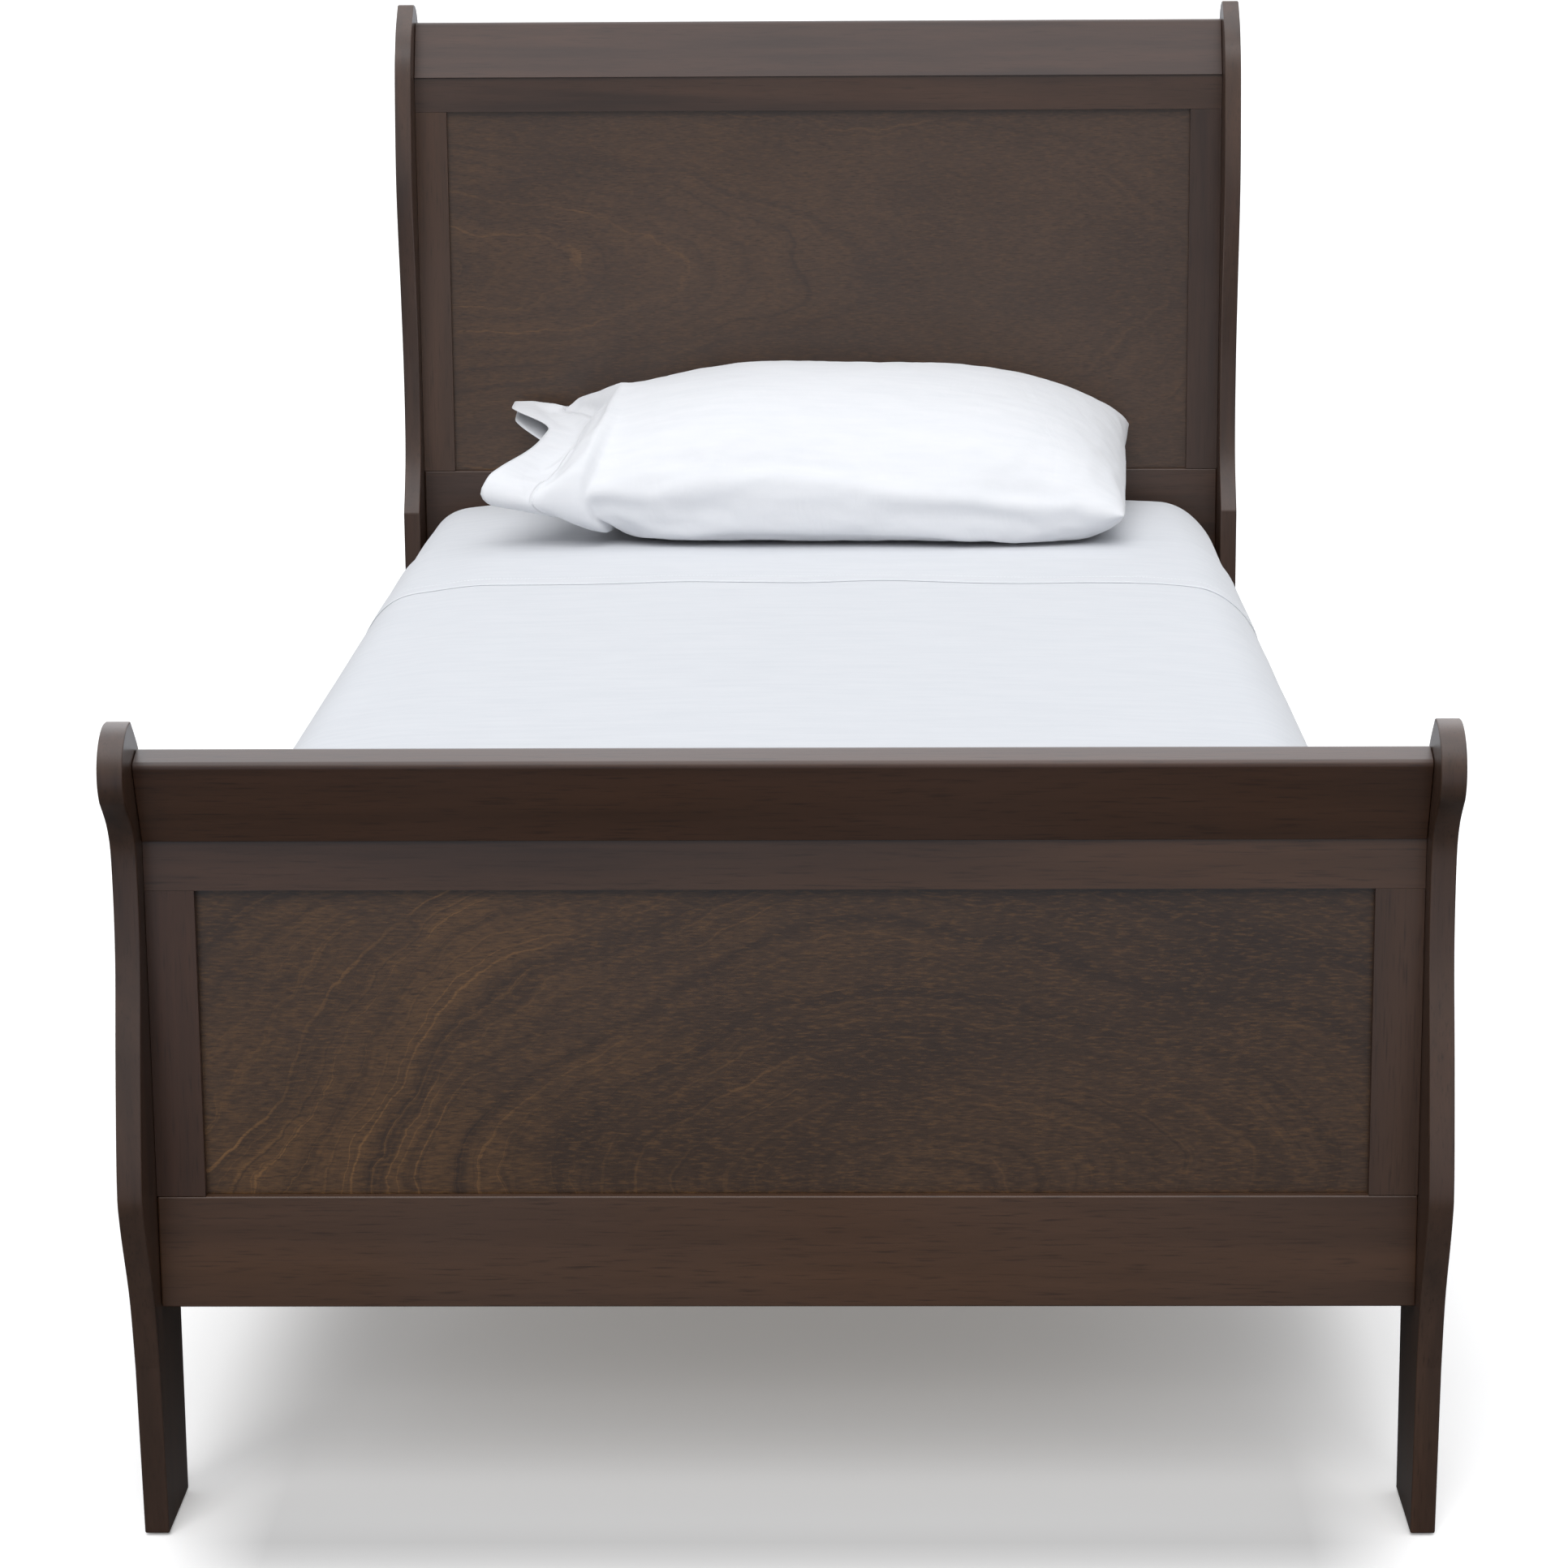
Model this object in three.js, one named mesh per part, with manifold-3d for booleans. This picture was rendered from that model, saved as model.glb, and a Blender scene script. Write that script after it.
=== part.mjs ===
// A twin sleigh bed made up with a mattress, sheets and one pillow.
// Millimetres, +Z up. The origin is on the floor under the middle of the bed, +Y points to the
// headboard and +X to the right of a person who stands at the foot and looks at the bed.
import * as THREE from 'three';
import { mergeVertices } from 'three/addons/utils/BufferGeometryUtils.js';
import Module from 'manifold-3d';

const wasm = await Module();
wasm.setup();

// ---------------------------------------------------------------- driving dimensions
const GAP = 0.3; // clearance between pieces that touch
const CURVE_STEPS = 5; // straight steps to each stretch of a curved outline

const BED_WIDTH = 1094;
const POST_THICKNESS = 21;
const POST_OUTER = BED_WIDTH / 2;
const POST_INNER = POST_OUTER - POST_THICKNESS;
const POST_EDGE = 903; // the posts' straight edge on the mattress side, from the bed's middle
const GLIDE_HEIGHT = 2.5;
const SHOULDER_HEIGHT = 537; // where the straight edge ends and the S-curve starts

const SCROLL_RADIUS = 38;
const FOOT_SCROLL = { out: 1017, up: 678 };
const HEAD_SCROLL = { out: 988, up: 1159 };

const FRAME_IN = 966; // the end frames' face on the mattress side, from the bed's middle
const FRAME_THICKNESS = 22;
const FRAME_OUT = FRAME_IN + FRAME_THICKNESS;
const STILE_WIDTH = 41;
const PANEL_THICKNESS = 6;
const PANEL_IN = FRAME_IN + 7.5;
const GROOVE_DEPTH = 9;
const TONGUE = GROOVE_DEPTH - 1;
const FOOT_LEVELS = { bottom: 204, panelLow: 302, panelHigh: 567, crown: 609 };
const HEAD_LEVELS = { bottom: 442, panelLow: 584, panelHigh: 1059, crown: 1103 };
const CROWN = { thickness: 26, lean: 21.5, height: { footboard: 81.5, headboard: 72 } };

const RAIL_THICKNESS = 22;
const RAIL_INNER = POST_OUTER - RAIL_THICKNESS;
const RAIL_BOTTOM = FOOT_LEVELS.bottom;
const RAIL_TOP = 345;
const RAIL_HALF = POST_EDGE - GAP;
const PLATE = { width: 14, height: 112, thickness: 2.5 };
const HOOK = { thickness: 3, height: 22, reach: 12, pitch: 60 };

const MATTRESS_BOTTOM = 330;
const SLAT = { count: 10, width: 90, thickness: 18, firstCentre: 850 };
const CLEAT = { width: 24, height: 26 };

const MATTRESS = { width: 1010, length: 1905, top: 552, corner: 62, roll: 46, centreX: -6 };
const SHEET_THICKNESS = 1.5;
const SHEET_EDGE = MATTRESS_BOTTOM + 4; // the fitted sheet's lower edge
const TOP_SHEET_EDGE = 349; // the top sheet is tucked just behind the side rails
const TOP_SHEET_FOLD = 610; // the fold near the pillow, from the bed's middle

const PILLOW = { left: -325, right: 388, front: 537, back: 953, rim: 84, rise: 120 };
const CASE = { left: -420, skin: 1.8, mouthRise: 9 };

const DOWEL = { radius: 5, length: 37, postDepth: 14, sides: 12 };

// ---------------------------------------------------------------- materials
const FINISHES = {
  walnut: { color: 0x3b2d25, roughness: 0.42, metalness: 0 },
  veneer: { color: 0x43342a, roughness: 0.4, metalness: 0 },
  pine: { color: 0xc9a878, roughness: 0.7, metalness: 0 },
  beech: { color: 0xd2b48c, roughness: 0.7, metalness: 0 },
  steel: { color: 0x9a9a98, roughness: 0.4, metalness: 0.9 },
  nylon: { color: 0x2a2a2a, roughness: 0.6, metalness: 0 },
  ticking: { color: 0xe8e6e0, roughness: 0.9, metalness: 0 },
  cotton: { color: 0xf2f4f8, roughness: 0.85, metalness: 0 },
};

const bed = new THREE.Group();
bed.name = 'sleigh_bed';

function addPiece(name, geometry, finish) {
  const piece = new THREE.Mesh(geometry, new THREE.MeshStandardMaterial(FINISHES[finish]));
  piece.name = name;
  bed.add(piece);
}

// ---------------------------------------------------------------- solids
function toSolid(geometry) {
  const bare = geometry.clone();
  bare.deleteAttribute('normal');
  bare.deleteAttribute('uv');
  const welded = mergeVertices(bare, 1e-4);
  const vertProperties = new Float32Array(welded.attributes.position.array);
  const triVerts = new Uint32Array(welded.index.array);
  return new wasm.Manifold(new wasm.Mesh({ numProp: 3, vertProperties, triVerts }));
}

function toGeometry(solid) {
  const mesh = solid.getMesh();
  const geometry = new THREE.BufferGeometry();
  geometry.setAttribute('position', new THREE.BufferAttribute(mesh.vertProperties, 3));
  geometry.setIndex(new THREE.BufferAttribute(mesh.triVerts, 1));
  geometry.computeVertexNormals();
  return geometry;
}

function join(geometry, extras) {
  return toGeometry(extras.reduce((sum, extra) => sum.add(toSolid(extra)), toSolid(geometry)));
}

function cut(geometry, tools) {
  return toGeometry(tools.reduce((rest, tool) => rest.subtract(toSolid(tool)), toSolid(geometry)));
}

// A rectangular block between two opposite corners, whichever way round they are given.
function block(a, b) {
  const size = a.map((value, i) => Math.abs(b[i] - value));
  const middle = a.map((value, i) => (b[i] + value) / 2);
  return new THREE.BoxGeometry(...size).translate(...middle);
}

// A round bar that lies along X.
function barAlongX(radius, x0, x1, y, z) {
  const bar = new THREE.CylinderGeometry(radius, radius, Math.abs(x1 - x0), DOWEL.sides);
  return bar.rotateZ(Math.PI / 2).translate((x0 + x1) / 2, y, z);
}

// An outline is drawn as (distance outwards from the bed's middle, height). This extrudes it
// along X at the head (end = 1) or, mirrored, at the foot (end = -1).
function extrudeAlongX(outline, end, x0, x1) {
  const points = outline.getPoints(CURVE_STEPS).map((p) => new THREE.Vector2(end * p.x, p.y));
  const depth = x1 - x0;
  const geometry = new THREE.ExtrudeGeometry(new THREE.Shape(points), { depth, bevelEnabled: false });
  const drawnToWorld = new THREE.Matrix4().set(0, 0, 1, x0, 1, 0, 0, 0, 0, 1, 0, 0, 0, 0, 0, 1);
  return geometry.applyMatrix4(drawnToWorld);
}

const ENDS = [
  { name: 'footboard', end: -1, levels: FOOT_LEVELS },
  { name: 'headboard', end: 1, levels: HEAD_LEVELS },
];
const SIDES = [
  { name: 'left', side: -1 },
  { name: 'right', side: 1 },
];

// ---------------------------------------------------------------- posts
function at(scroll, out, up) {
  return new THREE.Vector2(scroll.out + out, scroll.up + up);
}

function point(out, up) {
  return new THREE.Vector2(out, up);
}

// The leg, its belly, the waist above it, the scroll on top and the S-curve down the mattress side.
function postOutline(scroll, outerWaist, innerWaist) {
  const joinAngle = THREE.MathUtils.degToRad(-35);
  const shoulderAngle = THREE.MathUtils.degToRad(98);
  const outline = new THREE.Shape();
  outline.moveTo(POST_EDGE, GLIDE_HEIGHT);
  outline.lineTo(993, GLIDE_HEIGHT);
  outline.lineTo(1004, 155);
  outline.splineThru([
    point(1016, 222),
    point(1042, 296),
    point(1046, 336),
    point(1031, 431),
    point(1014, 520),
    ...outerWaist,
    at(scroll, -4, -84),
    at(scroll, 6, -50),
    at(scroll, SCROLL_RADIUS * Math.cos(joinAngle), SCROLL_RADIUS * Math.sin(joinAngle)),
  ]);
  outline.absarc(scroll.out, scroll.up, SCROLL_RADIUS, joinAngle, shoulderAngle, false);
  outline.splineThru([
    at(scroll, -30, 12),
    at(scroll, -43, -12),
    at(scroll, -57, -52),
    ...innerWaist,
    point(935, 613),
    point(POST_EDGE, SHOULDER_HEIGHT),
  ]);
  outline.closePath();
  return outline;
}

const POST_OUTLINES = {
  footboard: postOutline(FOOT_SCROLL, [], []),
  headboard: postOutline(
    HEAD_SCROLL,
    [point(1013, 620), point(1008, 730), point(996, 850), point(985, 960)],
    [point(917, 1000), point(918, 930), point(932, 825), point(941, 719)],
  ),
};

// Dowels join the end frames' rails to the posts: two in the bottom rail and one in the top rail.
function dowelHeights(levels) {
  const bottomMiddle = (levels.bottom + levels.panelLow) / 2;
  return [bottomMiddle - 26, bottomMiddle + 26, (levels.panelHigh + levels.crown) / 2];
}

const FRAME_MIDDLE = (FRAME_IN + FRAME_OUT) / 2;
const PLATE_MIDDLE_HEIGHT = (RAIL_BOTTOM + RAIL_TOP) / 2;
const PLATE_MIDDLE_X = POST_OUTER - POST_THICKNESS / 2;
const HOOK_HEIGHTS = [PLATE_MIDDLE_HEIGHT - HOOK.pitch / 2, PLATE_MIDDLE_HEIGHT + HOOK.pitch / 2];
const STRETCHER = { bottom: RAIL_BOTTOM, top: 302, tenon: 8 };

// A block for bed hardware at one corner: centred on the plate, from one depth to another along Y.
function hardwareBlock(end, side, width, height, middleHeight, depth0, depth1) {
  const x = side * PLATE_MIDDLE_X;
  return block(
    [x - width / 2, end * depth0, middleHeight - height / 2],
    [x + width / 2, end * depth1, middleHeight + height / 2],
  );
}

function makePost({ name, end, levels }, { name: sideName, side }) {
  const outline = POST_OUTLINES[name];
  const x0 = side > 0 ? POST_INNER : -POST_OUTER;
  const post = extrudeAlongX(outline, end, x0, x0 + POST_THICKNESS);
  const inner = side * POST_INNER;
  const hole = DOWEL.radius + GAP;
  const dowelHoles = dowelHeights(levels).map((z) =>
    barAlongX(hole, inner - side, inner + side * (DOWEL.postDepth + 0.5), end * FRAME_MIDDLE, z),
  );
  const platePocket = hardwareBlock(
    end, side, PLATE.width + 2 * GAP, PLATE.height + 2 * GAP, PLATE_MIDDLE_HEIGHT,
    POST_EDGE - 1, POST_EDGE + PLATE.thickness + GAP,
  );
  const hookPocket = hardwareBlock(
    end, side, HOOK.thickness + 3, HOOK.pitch + HOOK.height + 14, PLATE_MIDDLE_HEIGHT - 4,
    POST_EDGE, POST_EDGE + HOOK.reach + 4,
  );
  const glideHole = new THREE.CylinderGeometry(2.2, 2.2, 16, 8);
  glideHole.rotateX(Math.PI / 2).translate(side * PLATE_MIDDLE_X, end * GLIDE_OUT, GLIDE_HEIGHT + 6);
  const tools = [...dowelHoles, platePocket, hookPocket, glideHole];
  if (end > 0) {
    tools.push(stretcherTenon(side, GAP));
  }
  addPiece(`${name}_post_${sideName}`, cut(post, tools), 'walnut');
}

// The stub tenon on each end of the headboard's low stretcher, or with room to spare its mortise.
function stretcherTenon(side, room) {
  return block(
    [side * (POST_INNER - 2), FRAME_IN + 5 - room, STRETCHER.bottom + 15 - room],
    [side * (POST_INNER + STRETCHER.tenon + room), FRAME_OUT - 5 + room, STRETCHER.top - 15 + room],
  );
}

// ---------------------------------------------------------------- end frames
const FRAME_HALF = POST_INNER - GAP; // half the length of the rails between the posts
const OPENING_HALF = POST_INNER - STILE_WIDTH; // half the width of the panel's opening
const GROOVE_IN = PANEL_IN - GAP;
const GROOVE_OUT = PANEL_IN + PANEL_THICKNESS + GAP;

// A flat rail with a groove in the edge that faces the panel.
function railOutline(low, high, grooveAt) {
  const outline = new THREE.Shape();
  const edge = grooveAt === 'top' ? high : low;
  const floor = grooveAt === 'top' ? high - GROOVE_DEPTH : low + GROOVE_DEPTH;
  const far = grooveAt === 'top' ? low : high;
  outline.moveTo(FRAME_IN, far);
  outline.lineTo(FRAME_OUT, far);
  outline.lineTo(FRAME_OUT, edge);
  outline.lineTo(GROOVE_OUT, edge);
  outline.lineTo(GROOVE_OUT, floor);
  outline.lineTo(GROOVE_IN, floor);
  outline.lineTo(GROOVE_IN, edge);
  outline.lineTo(FRAME_IN, edge);
  outline.closePath();
  return outline;
}

function makeGroovedRail(name, end, low, high, grooveAt, dowels) {
  const rail = extrudeAlongX(railOutline(low, high, grooveAt), end, -FRAME_HALF, FRAME_HALF);
  const depth = DOWEL.length - DOWEL.postDepth;
  const holes = dowels.flatMap((z) =>
    SIDES.map(({ side }) => {
      const outer = side * (FRAME_HALF + 1);
      return barAlongX(DOWEL.radius + GAP, outer, side * (POST_INNER - depth), end * FRAME_MIDDLE, z);
    }),
  );
  addPiece(name, cut(rail, holes), 'walnut');
}

// An upright between the two rails: a groove for the panel and a tongue at both ends.
function makeStile(frameName, end, sideName, side, low, high) {
  const outer = side * FRAME_HALF;
  const inner = side * OPENING_HALF;
  const body = block([outer, end * FRAME_IN, low + GAP], [inner, end * FRAME_OUT, high - GAP]);
  const tongue = block(
    [outer, end * PANEL_IN, low - TONGUE],
    [inner, end * (PANEL_IN + PANEL_THICKNESS), high + TONGUE],
  );
  const groove = block(
    [inner - side, end * GROOVE_IN, low - GROOVE_DEPTH],
    [inner + side * GROOVE_DEPTH, end * GROOVE_OUT, high + GROOVE_DEPTH],
  );
  addPiece(`${frameName}_stile_${sideName}`, cut(join(body, [tongue]), [groove]), 'walnut');
}

function makePanel(frameName, end, low, high) {
  const half = OPENING_HALF + TONGUE;
  const panel = block(
    [-half, end * PANEL_IN, low - TONGUE],
    [half, end * (PANEL_IN + PANEL_THICKNESS), high + TONGUE],
  );
  addPiece(`${frameName}_panel`, panel, 'veneer');
}

// The crown is a thick flat board that leans outwards from the top rail. Its top is cut square, so
// it slopes down towards the outside.
function crownOutline(base, height) {
  const lean = THREE.MathUtils.degToRad(CROWN.lean);
  const drop = CROWN.thickness * Math.sin(lean);
  const inner = point(FRAME_MIDDLE - CROWN.thickness / Math.cos(lean) / 2, base);
  const innerTop = point(inner.x + height * Math.tan(lean), base + height);
  const outerTop = point(innerTop.x + CROWN.thickness * Math.cos(lean), innerTop.y - drop);
  const outer = point(outerTop.x - (height - drop) * Math.tan(lean), base);
  return new THREE.Shape([inner, outer, outerTop, innerTop]);
}


function makeEndFrame({ name, end, levels }) {
  const heights = dowelHeights(levels);
  const { bottom, panelLow, panelHigh, crown } = levels;
  makeGroovedRail(`${name}_bottom_rail`, end, bottom, panelLow, 'top', heights.slice(0, 2));
  makeGroovedRail(`${name}_top_rail`, end, panelHigh, crown, 'bottom', heights.slice(2));
  for (const { name: sideName, side } of SIDES) {
    makeStile(name, end, sideName, side, panelLow, panelHigh);
    heights.forEach((z, i) => {
      const x0 = side * (POST_INNER + DOWEL.postDepth);
      const dowel = barAlongX(DOWEL.radius, x0, x0 - side * (DOWEL.length - 0.5), end * FRAME_MIDDLE, z);
      addPiece(`${name}_dowel_${sideName}_${i + 1}`, dowel, 'beech');
    });
  }
  makePanel(name, end, panelLow, panelHigh);
  const crownShape = crownOutline(crown + GAP, CROWN.height[name] - GAP);
  const board = extrudeAlongX(crownShape, end, -FRAME_HALF, FRAME_HALF);
  addPiece(`${name}_crown`, board, 'walnut');
}

function makeStretcher() {
  const board = block(
    [-FRAME_HALF, FRAME_IN, STRETCHER.bottom],
    [FRAME_HALF, FRAME_OUT, STRETCHER.top],
  );
  const tenons = SIDES.map(({ side }) => stretcherTenon(side, 0));
  addPiece('headboard_stretcher', join(board, tenons), 'walnut');
}

// ---------------------------------------------------------------- side rails, cleats and slats
const PLATE_FACE = RAIL_HALF - PLATE.thickness; // the hook plates are let in flush with the rail's end
const SLAT_BOTTOM = MATTRESS_BOTTOM - GAP - SLAT.thickness;

function makeSideRail(sideName, side) {
  const rail = block(
    [side * RAIL_INNER, -RAIL_HALF, RAIL_BOTTOM],
    [side * POST_OUTER, RAIL_HALF, RAIL_TOP],
  );
  const pockets = ENDS.map(({ end }) =>
    hardwareBlock(
      end, side, PLATE.width + 2 * GAP, PLATE.height + 2 * GAP, PLATE_MIDDLE_HEIGHT,
      PLATE_FACE - GAP, RAIL_HALF + 1,
    ),
  );
  addPiece(`side_rail_${sideName}`, cut(rail, pockets), 'walnut');
}

function makeCleat(sideName, side) {
  const outer = side * (RAIL_INNER - GAP);
  const top = SLAT_BOTTOM - GAP;
  const half = RAIL_HALF - 12;
  const cleat = block([outer, -half, top - CLEAT.height], [outer - side * CLEAT.width, half, top]);
  addPiece(`slat_cleat_${sideName}`, cleat, 'pine');
}

function makeSlats() {
  const half = RAIL_INNER - 2;
  const pitch = (2 * SLAT.firstCentre) / (SLAT.count - 1);
  for (let i = 0; i < SLAT.count; i += 1) {
    const y = -SLAT.firstCentre + i * pitch;
    const slat = block(
      [-half, y - SLAT.width / 2, SLAT_BOTTOM],
      [half, y + SLAT.width / 2, SLAT_BOTTOM + SLAT.thickness],
    );
    addPiece(`slat_${String(i + 1).padStart(2, '0')}`, slat, 'pine');
  }
}

// ---------------------------------------------------------------- bed hardware
// The hooks on the rail's plate drop through the slots in the post's plate and hold behind it.
function makeHookPlate(name, end, side) {
  const plate = hardwareBlock(
    end, side, PLATE.width, PLATE.height, PLATE_MIDDLE_HEIGHT, PLATE_FACE, RAIL_HALF,
  );
  const inside = POST_EDGE + PLATE.thickness + 2 * GAP;
  const hooks = HOOK_HEIGHTS.flatMap((z) => [
    hardwareBlock(end, side, HOOK.thickness, HOOK.height - 8, z + 4, RAIL_HALF - 1, inside + 3),
    hardwareBlock(end, side, HOOK.thickness, HOOK.height, z, inside, POST_EDGE + HOOK.reach),
  ]);
  addPiece(`hook_plate_${name}`, join(plate, hooks), 'steel');
}

function makeKeeperPlate(name, end, side) {
  const plate = hardwareBlock(
    end, side, PLATE.width, PLATE.height, PLATE_MIDDLE_HEIGHT, POST_EDGE, POST_EDGE + PLATE.thickness,
  );
  const slots = HOOK_HEIGHTS.map((z) =>
    hardwareBlock(
      end, side, HOOK.thickness + 1, HOOK.height + 4, z + 1,
      POST_EDGE - 1, POST_EDGE + PLATE.thickness + 1,
    ),
  );
  addPiece(`keeper_plate_${name}`, cut(plate, slots), 'steel');
}

// ---------------------------------------------------------------- foot glides
const GLIDE_OUT = 948; // the middle of each foot, from the bed's middle

function makeGlide(name, end, side) {
  const radius = 8.5;
  const pin = 1.8;
  const pinTop = GLIDE_HEIGHT + 12;
  const profile = [
    [0, 0],
    [radius - 1, 0],
    [radius, 1],
    [radius, GLIDE_HEIGHT - GAP],
    [pin, GLIDE_HEIGHT - GAP],
    [pin, pinTop],
    [0, pinTop],
  ].map(([r, z]) => new THREE.Vector2(r, z));
  const glide = new THREE.LatheGeometry(profile, 16).rotateX(Math.PI / 2);
  glide.translate(side * PLATE_MIDDLE_X, end * GLIDE_OUT, 0);
  addPiece(`foot_glide_${name}`, glide, 'nylon');
}

// ---------------------------------------------------------------- bedding
// The mattress's shape, grown by a given amount for each layer that goes over it.
function roundedMattress(grow) {
  const { width, length, top, corner, roll, centreX } = MATTRESS;
  const halfX = width / 2 - roll;
  const halfY = length / 2 - roll;
  const r = corner - roll + 1;
  const outline = new THREE.Shape();
  outline.moveTo(-halfX + r, -halfY);
  outline.lineTo(halfX - r, -halfY);
  outline.absarc(halfX - r, -halfY + r, r, -Math.PI / 2, 0, false);
  outline.absarc(halfX - r, halfY - r, r, 0, Math.PI / 2, false);
  outline.absarc(-halfX + r, halfY - r, r, Math.PI / 2, Math.PI, false);
  outline.absarc(-halfX + r, -halfY + r, r, Math.PI, 1.5 * Math.PI, false);
  const size = roll + grow;
  const geometry = new THREE.ExtrudeGeometry(outline, {
    depth: top - MATTRESS_BOTTOM - 2 * roll,
    curveSegments: 3,
    bevelEnabled: true,
    bevelThickness: size,
    bevelSize: size,
    bevelSegments: 4,
  });
  return geometry.translate(centreX, 0, MATTRESS_BOTTOM + roll);
}

// A sheet over the mattress: a skin between two growths, kept only inside a block.
function mattressSkin(inner, outer, keep) {
  const skin = toSolid(roundedMattress(outer)).subtract(toSolid(roundedMattress(inner)));
  return toGeometry(skin.intersect(toSolid(keep)));
}

function makeMattressAndSheets() {
  addPiece('mattress', roundedMattress(0), 'ticking');
  const reach = 1200;
  const fitted = mattressSkin(
    GAP,
    GAP + SHEET_THICKNESS,
    block([-reach, -reach, SHEET_EDGE], [reach, reach, reach]),
  );
  addPiece('fitted_sheet', fitted, 'cotton');
  const topSheet = mattressSkin(
    2 * GAP + SHEET_THICKNESS,
    2 * GAP + 2 * SHEET_THICKNESS,
    block([-reach, -reach, TOP_SHEET_EDGE], [reach, TOP_SHEET_FOLD, reach]),
  );
  addPiece('top_sheet', topSheet, 'cotton');
}

// A closed body over the grid of lines xs and ys, between a lower and an upper surface.
function slab(xs, ys, lower, upper) {
  const positions = [lower, upper].flatMap((surface) =>
    xs.flatMap((x) => ys.flatMap((y) => [x, y, surface(x, y)])),
  );
  const index = [];
  const quad = (a, b, c, d) => index.push(a, b, c, a, c, d);
  const vertex = (layer, i, j) => (layer * xs.length + i) * ys.length + j;
  const lastX = xs.length - 1;
  const lastY = ys.length - 1;
  for (let i = 0; i < lastX; i += 1) {
    for (let j = 0; j < lastY; j += 1) {
      quad(vertex(0, i, j), vertex(0, i, j + 1), vertex(0, i + 1, j + 1), vertex(0, i + 1, j));
      quad(vertex(1, i, j), vertex(1, i + 1, j), vertex(1, i + 1, j + 1), vertex(1, i, j + 1));
    }
    quad(vertex(0, i, 0), vertex(0, i + 1, 0), vertex(1, i + 1, 0), vertex(1, i, 0));
    quad(vertex(0, i + 1, lastY), vertex(0, i, lastY), vertex(1, i, lastY), vertex(1, i + 1, lastY));
  }
  for (let j = 0; j < lastY; j += 1) {
    quad(vertex(0, 0, j + 1), vertex(0, 0, j), vertex(1, 0, j), vertex(1, 0, j + 1));
    quad(vertex(0, lastX, j), vertex(0, lastX, j + 1), vertex(1, lastX, j + 1), vertex(1, lastX, j));
  }
  const geometry = new THREE.BufferGeometry();
  geometry.setAttribute('position', new THREE.Float32BufferAttribute(positions, 3));
  geometry.setIndex(index);
  geometry.computeVertexNormals();
  return geometry;
}

function evenSteps(from, to, count) {
  return Array.from({ length: count + 1 }, (_, i) => from + ((to - from) * i) / count);
}

const BED_TOP = MATTRESS.top + 3 * GAP + 2 * SHEET_THICKNESS;
const RIM_HEIGHT = BED_TOP + PILLOW.rim;
const PILLOW_MIDDLE_Y = (PILLOW.front + PILLOW.back) / 2;
const PILLOW_HALF_Y = (PILLOW.back - PILLOW.front) / 2;
const PILLOW_XS = evenSteps(PILLOW.left, PILLOW.right, 16);
const PILLOW_YS = evenSteps(PILLOW.front, PILLOW.back, 12);

// How far the filled pillow bulges from its rim: full in the middle and thin at the seam.
function pillowBulge(x, y) {
  const u = (2 * (x - PILLOW.left)) / (PILLOW.right - PILLOW.left) - 1;
  const v = (y - PILLOW_MIDDLE_Y) / PILLOW_HALF_Y;
  const fullness = (t) => Math.sqrt(Math.max(0, 1 - Math.abs(t) ** 3));
  return 2 + PILLOW.rise * fullness(u) * fullness(v);
}

// The case follows the pillow, and past its left end falls to a flat open mouth.
function caseBulge(x, y) {
  const v = (y - PILLOW_MIDDLE_Y) / PILLOW_HALF_Y;
  const mouth = CASE.mouthRise * Math.sqrt(Math.max(0, 1 - v ** 2));
  const beside = Math.min(Math.max(x, PILLOW.left), PILLOW.right);
  return Math.max(mouth, pillowBulge(beside, y));
}

// A pillow-shaped body that rests on a floor and is thicker than its bulge by a margin.
function pillowBody(xs, ys, bulge, margin, floor) {
  const lower = (x, y) => Math.max(floor, RIM_HEIGHT - bulge(x, y) - margin);
  const upper = (x, y) => RIM_HEIGHT + bulge(x, y) + margin;
  return slab(xs, ys, lower, upper);
}

function makePillow() {
  const insideFloor = BED_TOP + GAP + CASE.skin;
  const pillow = pillowBody(PILLOW_XS, PILLOW_YS, pillowBulge, 0, insideFloor + GAP);
  addPiece('pillow', pillow, 'ticking');
  const mouthXs = evenSteps(CASE.left, PILLOW.left - 20, 2);
  const widened = (steps, margin) => [steps[0] - margin, ...steps, steps[steps.length - 1] + margin];
  const outerYs = widened(PILLOW_YS, GAP + CASE.skin);
  const outerXs = [...mouthXs, ...PILLOW_XS, PILLOW.right + GAP + CASE.skin];
  const innerXs = [CASE.left - 5, ...mouthXs, ...PILLOW_XS, PILLOW.right + GAP];
  const outside = pillowBody(outerXs, outerYs, caseBulge, GAP + CASE.skin, BED_TOP + GAP);
  const inside = pillowBody(innerXs, widened(PILLOW_YS, GAP), caseBulge, GAP, insideFloor);
  addPiece('pillowcase', cut(outside, [inside]), 'cotton');
}

// ---------------------------------------------------------------- the whole bed
for (const endPart of ENDS) {
  for (const sidePart of SIDES) {
    const corner = `${endPart.end > 0 ? 'head' : 'foot'}_${sidePart.name}`;
    makePost(endPart, sidePart);
    makeHookPlate(corner, endPart.end, sidePart.side);
    makeKeeperPlate(corner, endPart.end, sidePart.side);
    makeGlide(corner, endPart.end, sidePart.side);
  }
  makeEndFrame(endPart);
}
makeStretcher();
for (const { name, side } of SIDES) {
  makeSideRail(name, side);
  makeCleat(name, side);
}
makeSlats();
makeMattressAndSheets();
makePillow();

// The footboard's scroll reaches a little further out than the headboard's belly, so the whole bed
// moves along Y until the origin is under the middle of its outline.
const extent = new THREE.Box3().setFromObject(bed);
bed.position.y = -(extent.min.y + extent.max.y) / 2;

export default bed;
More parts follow.
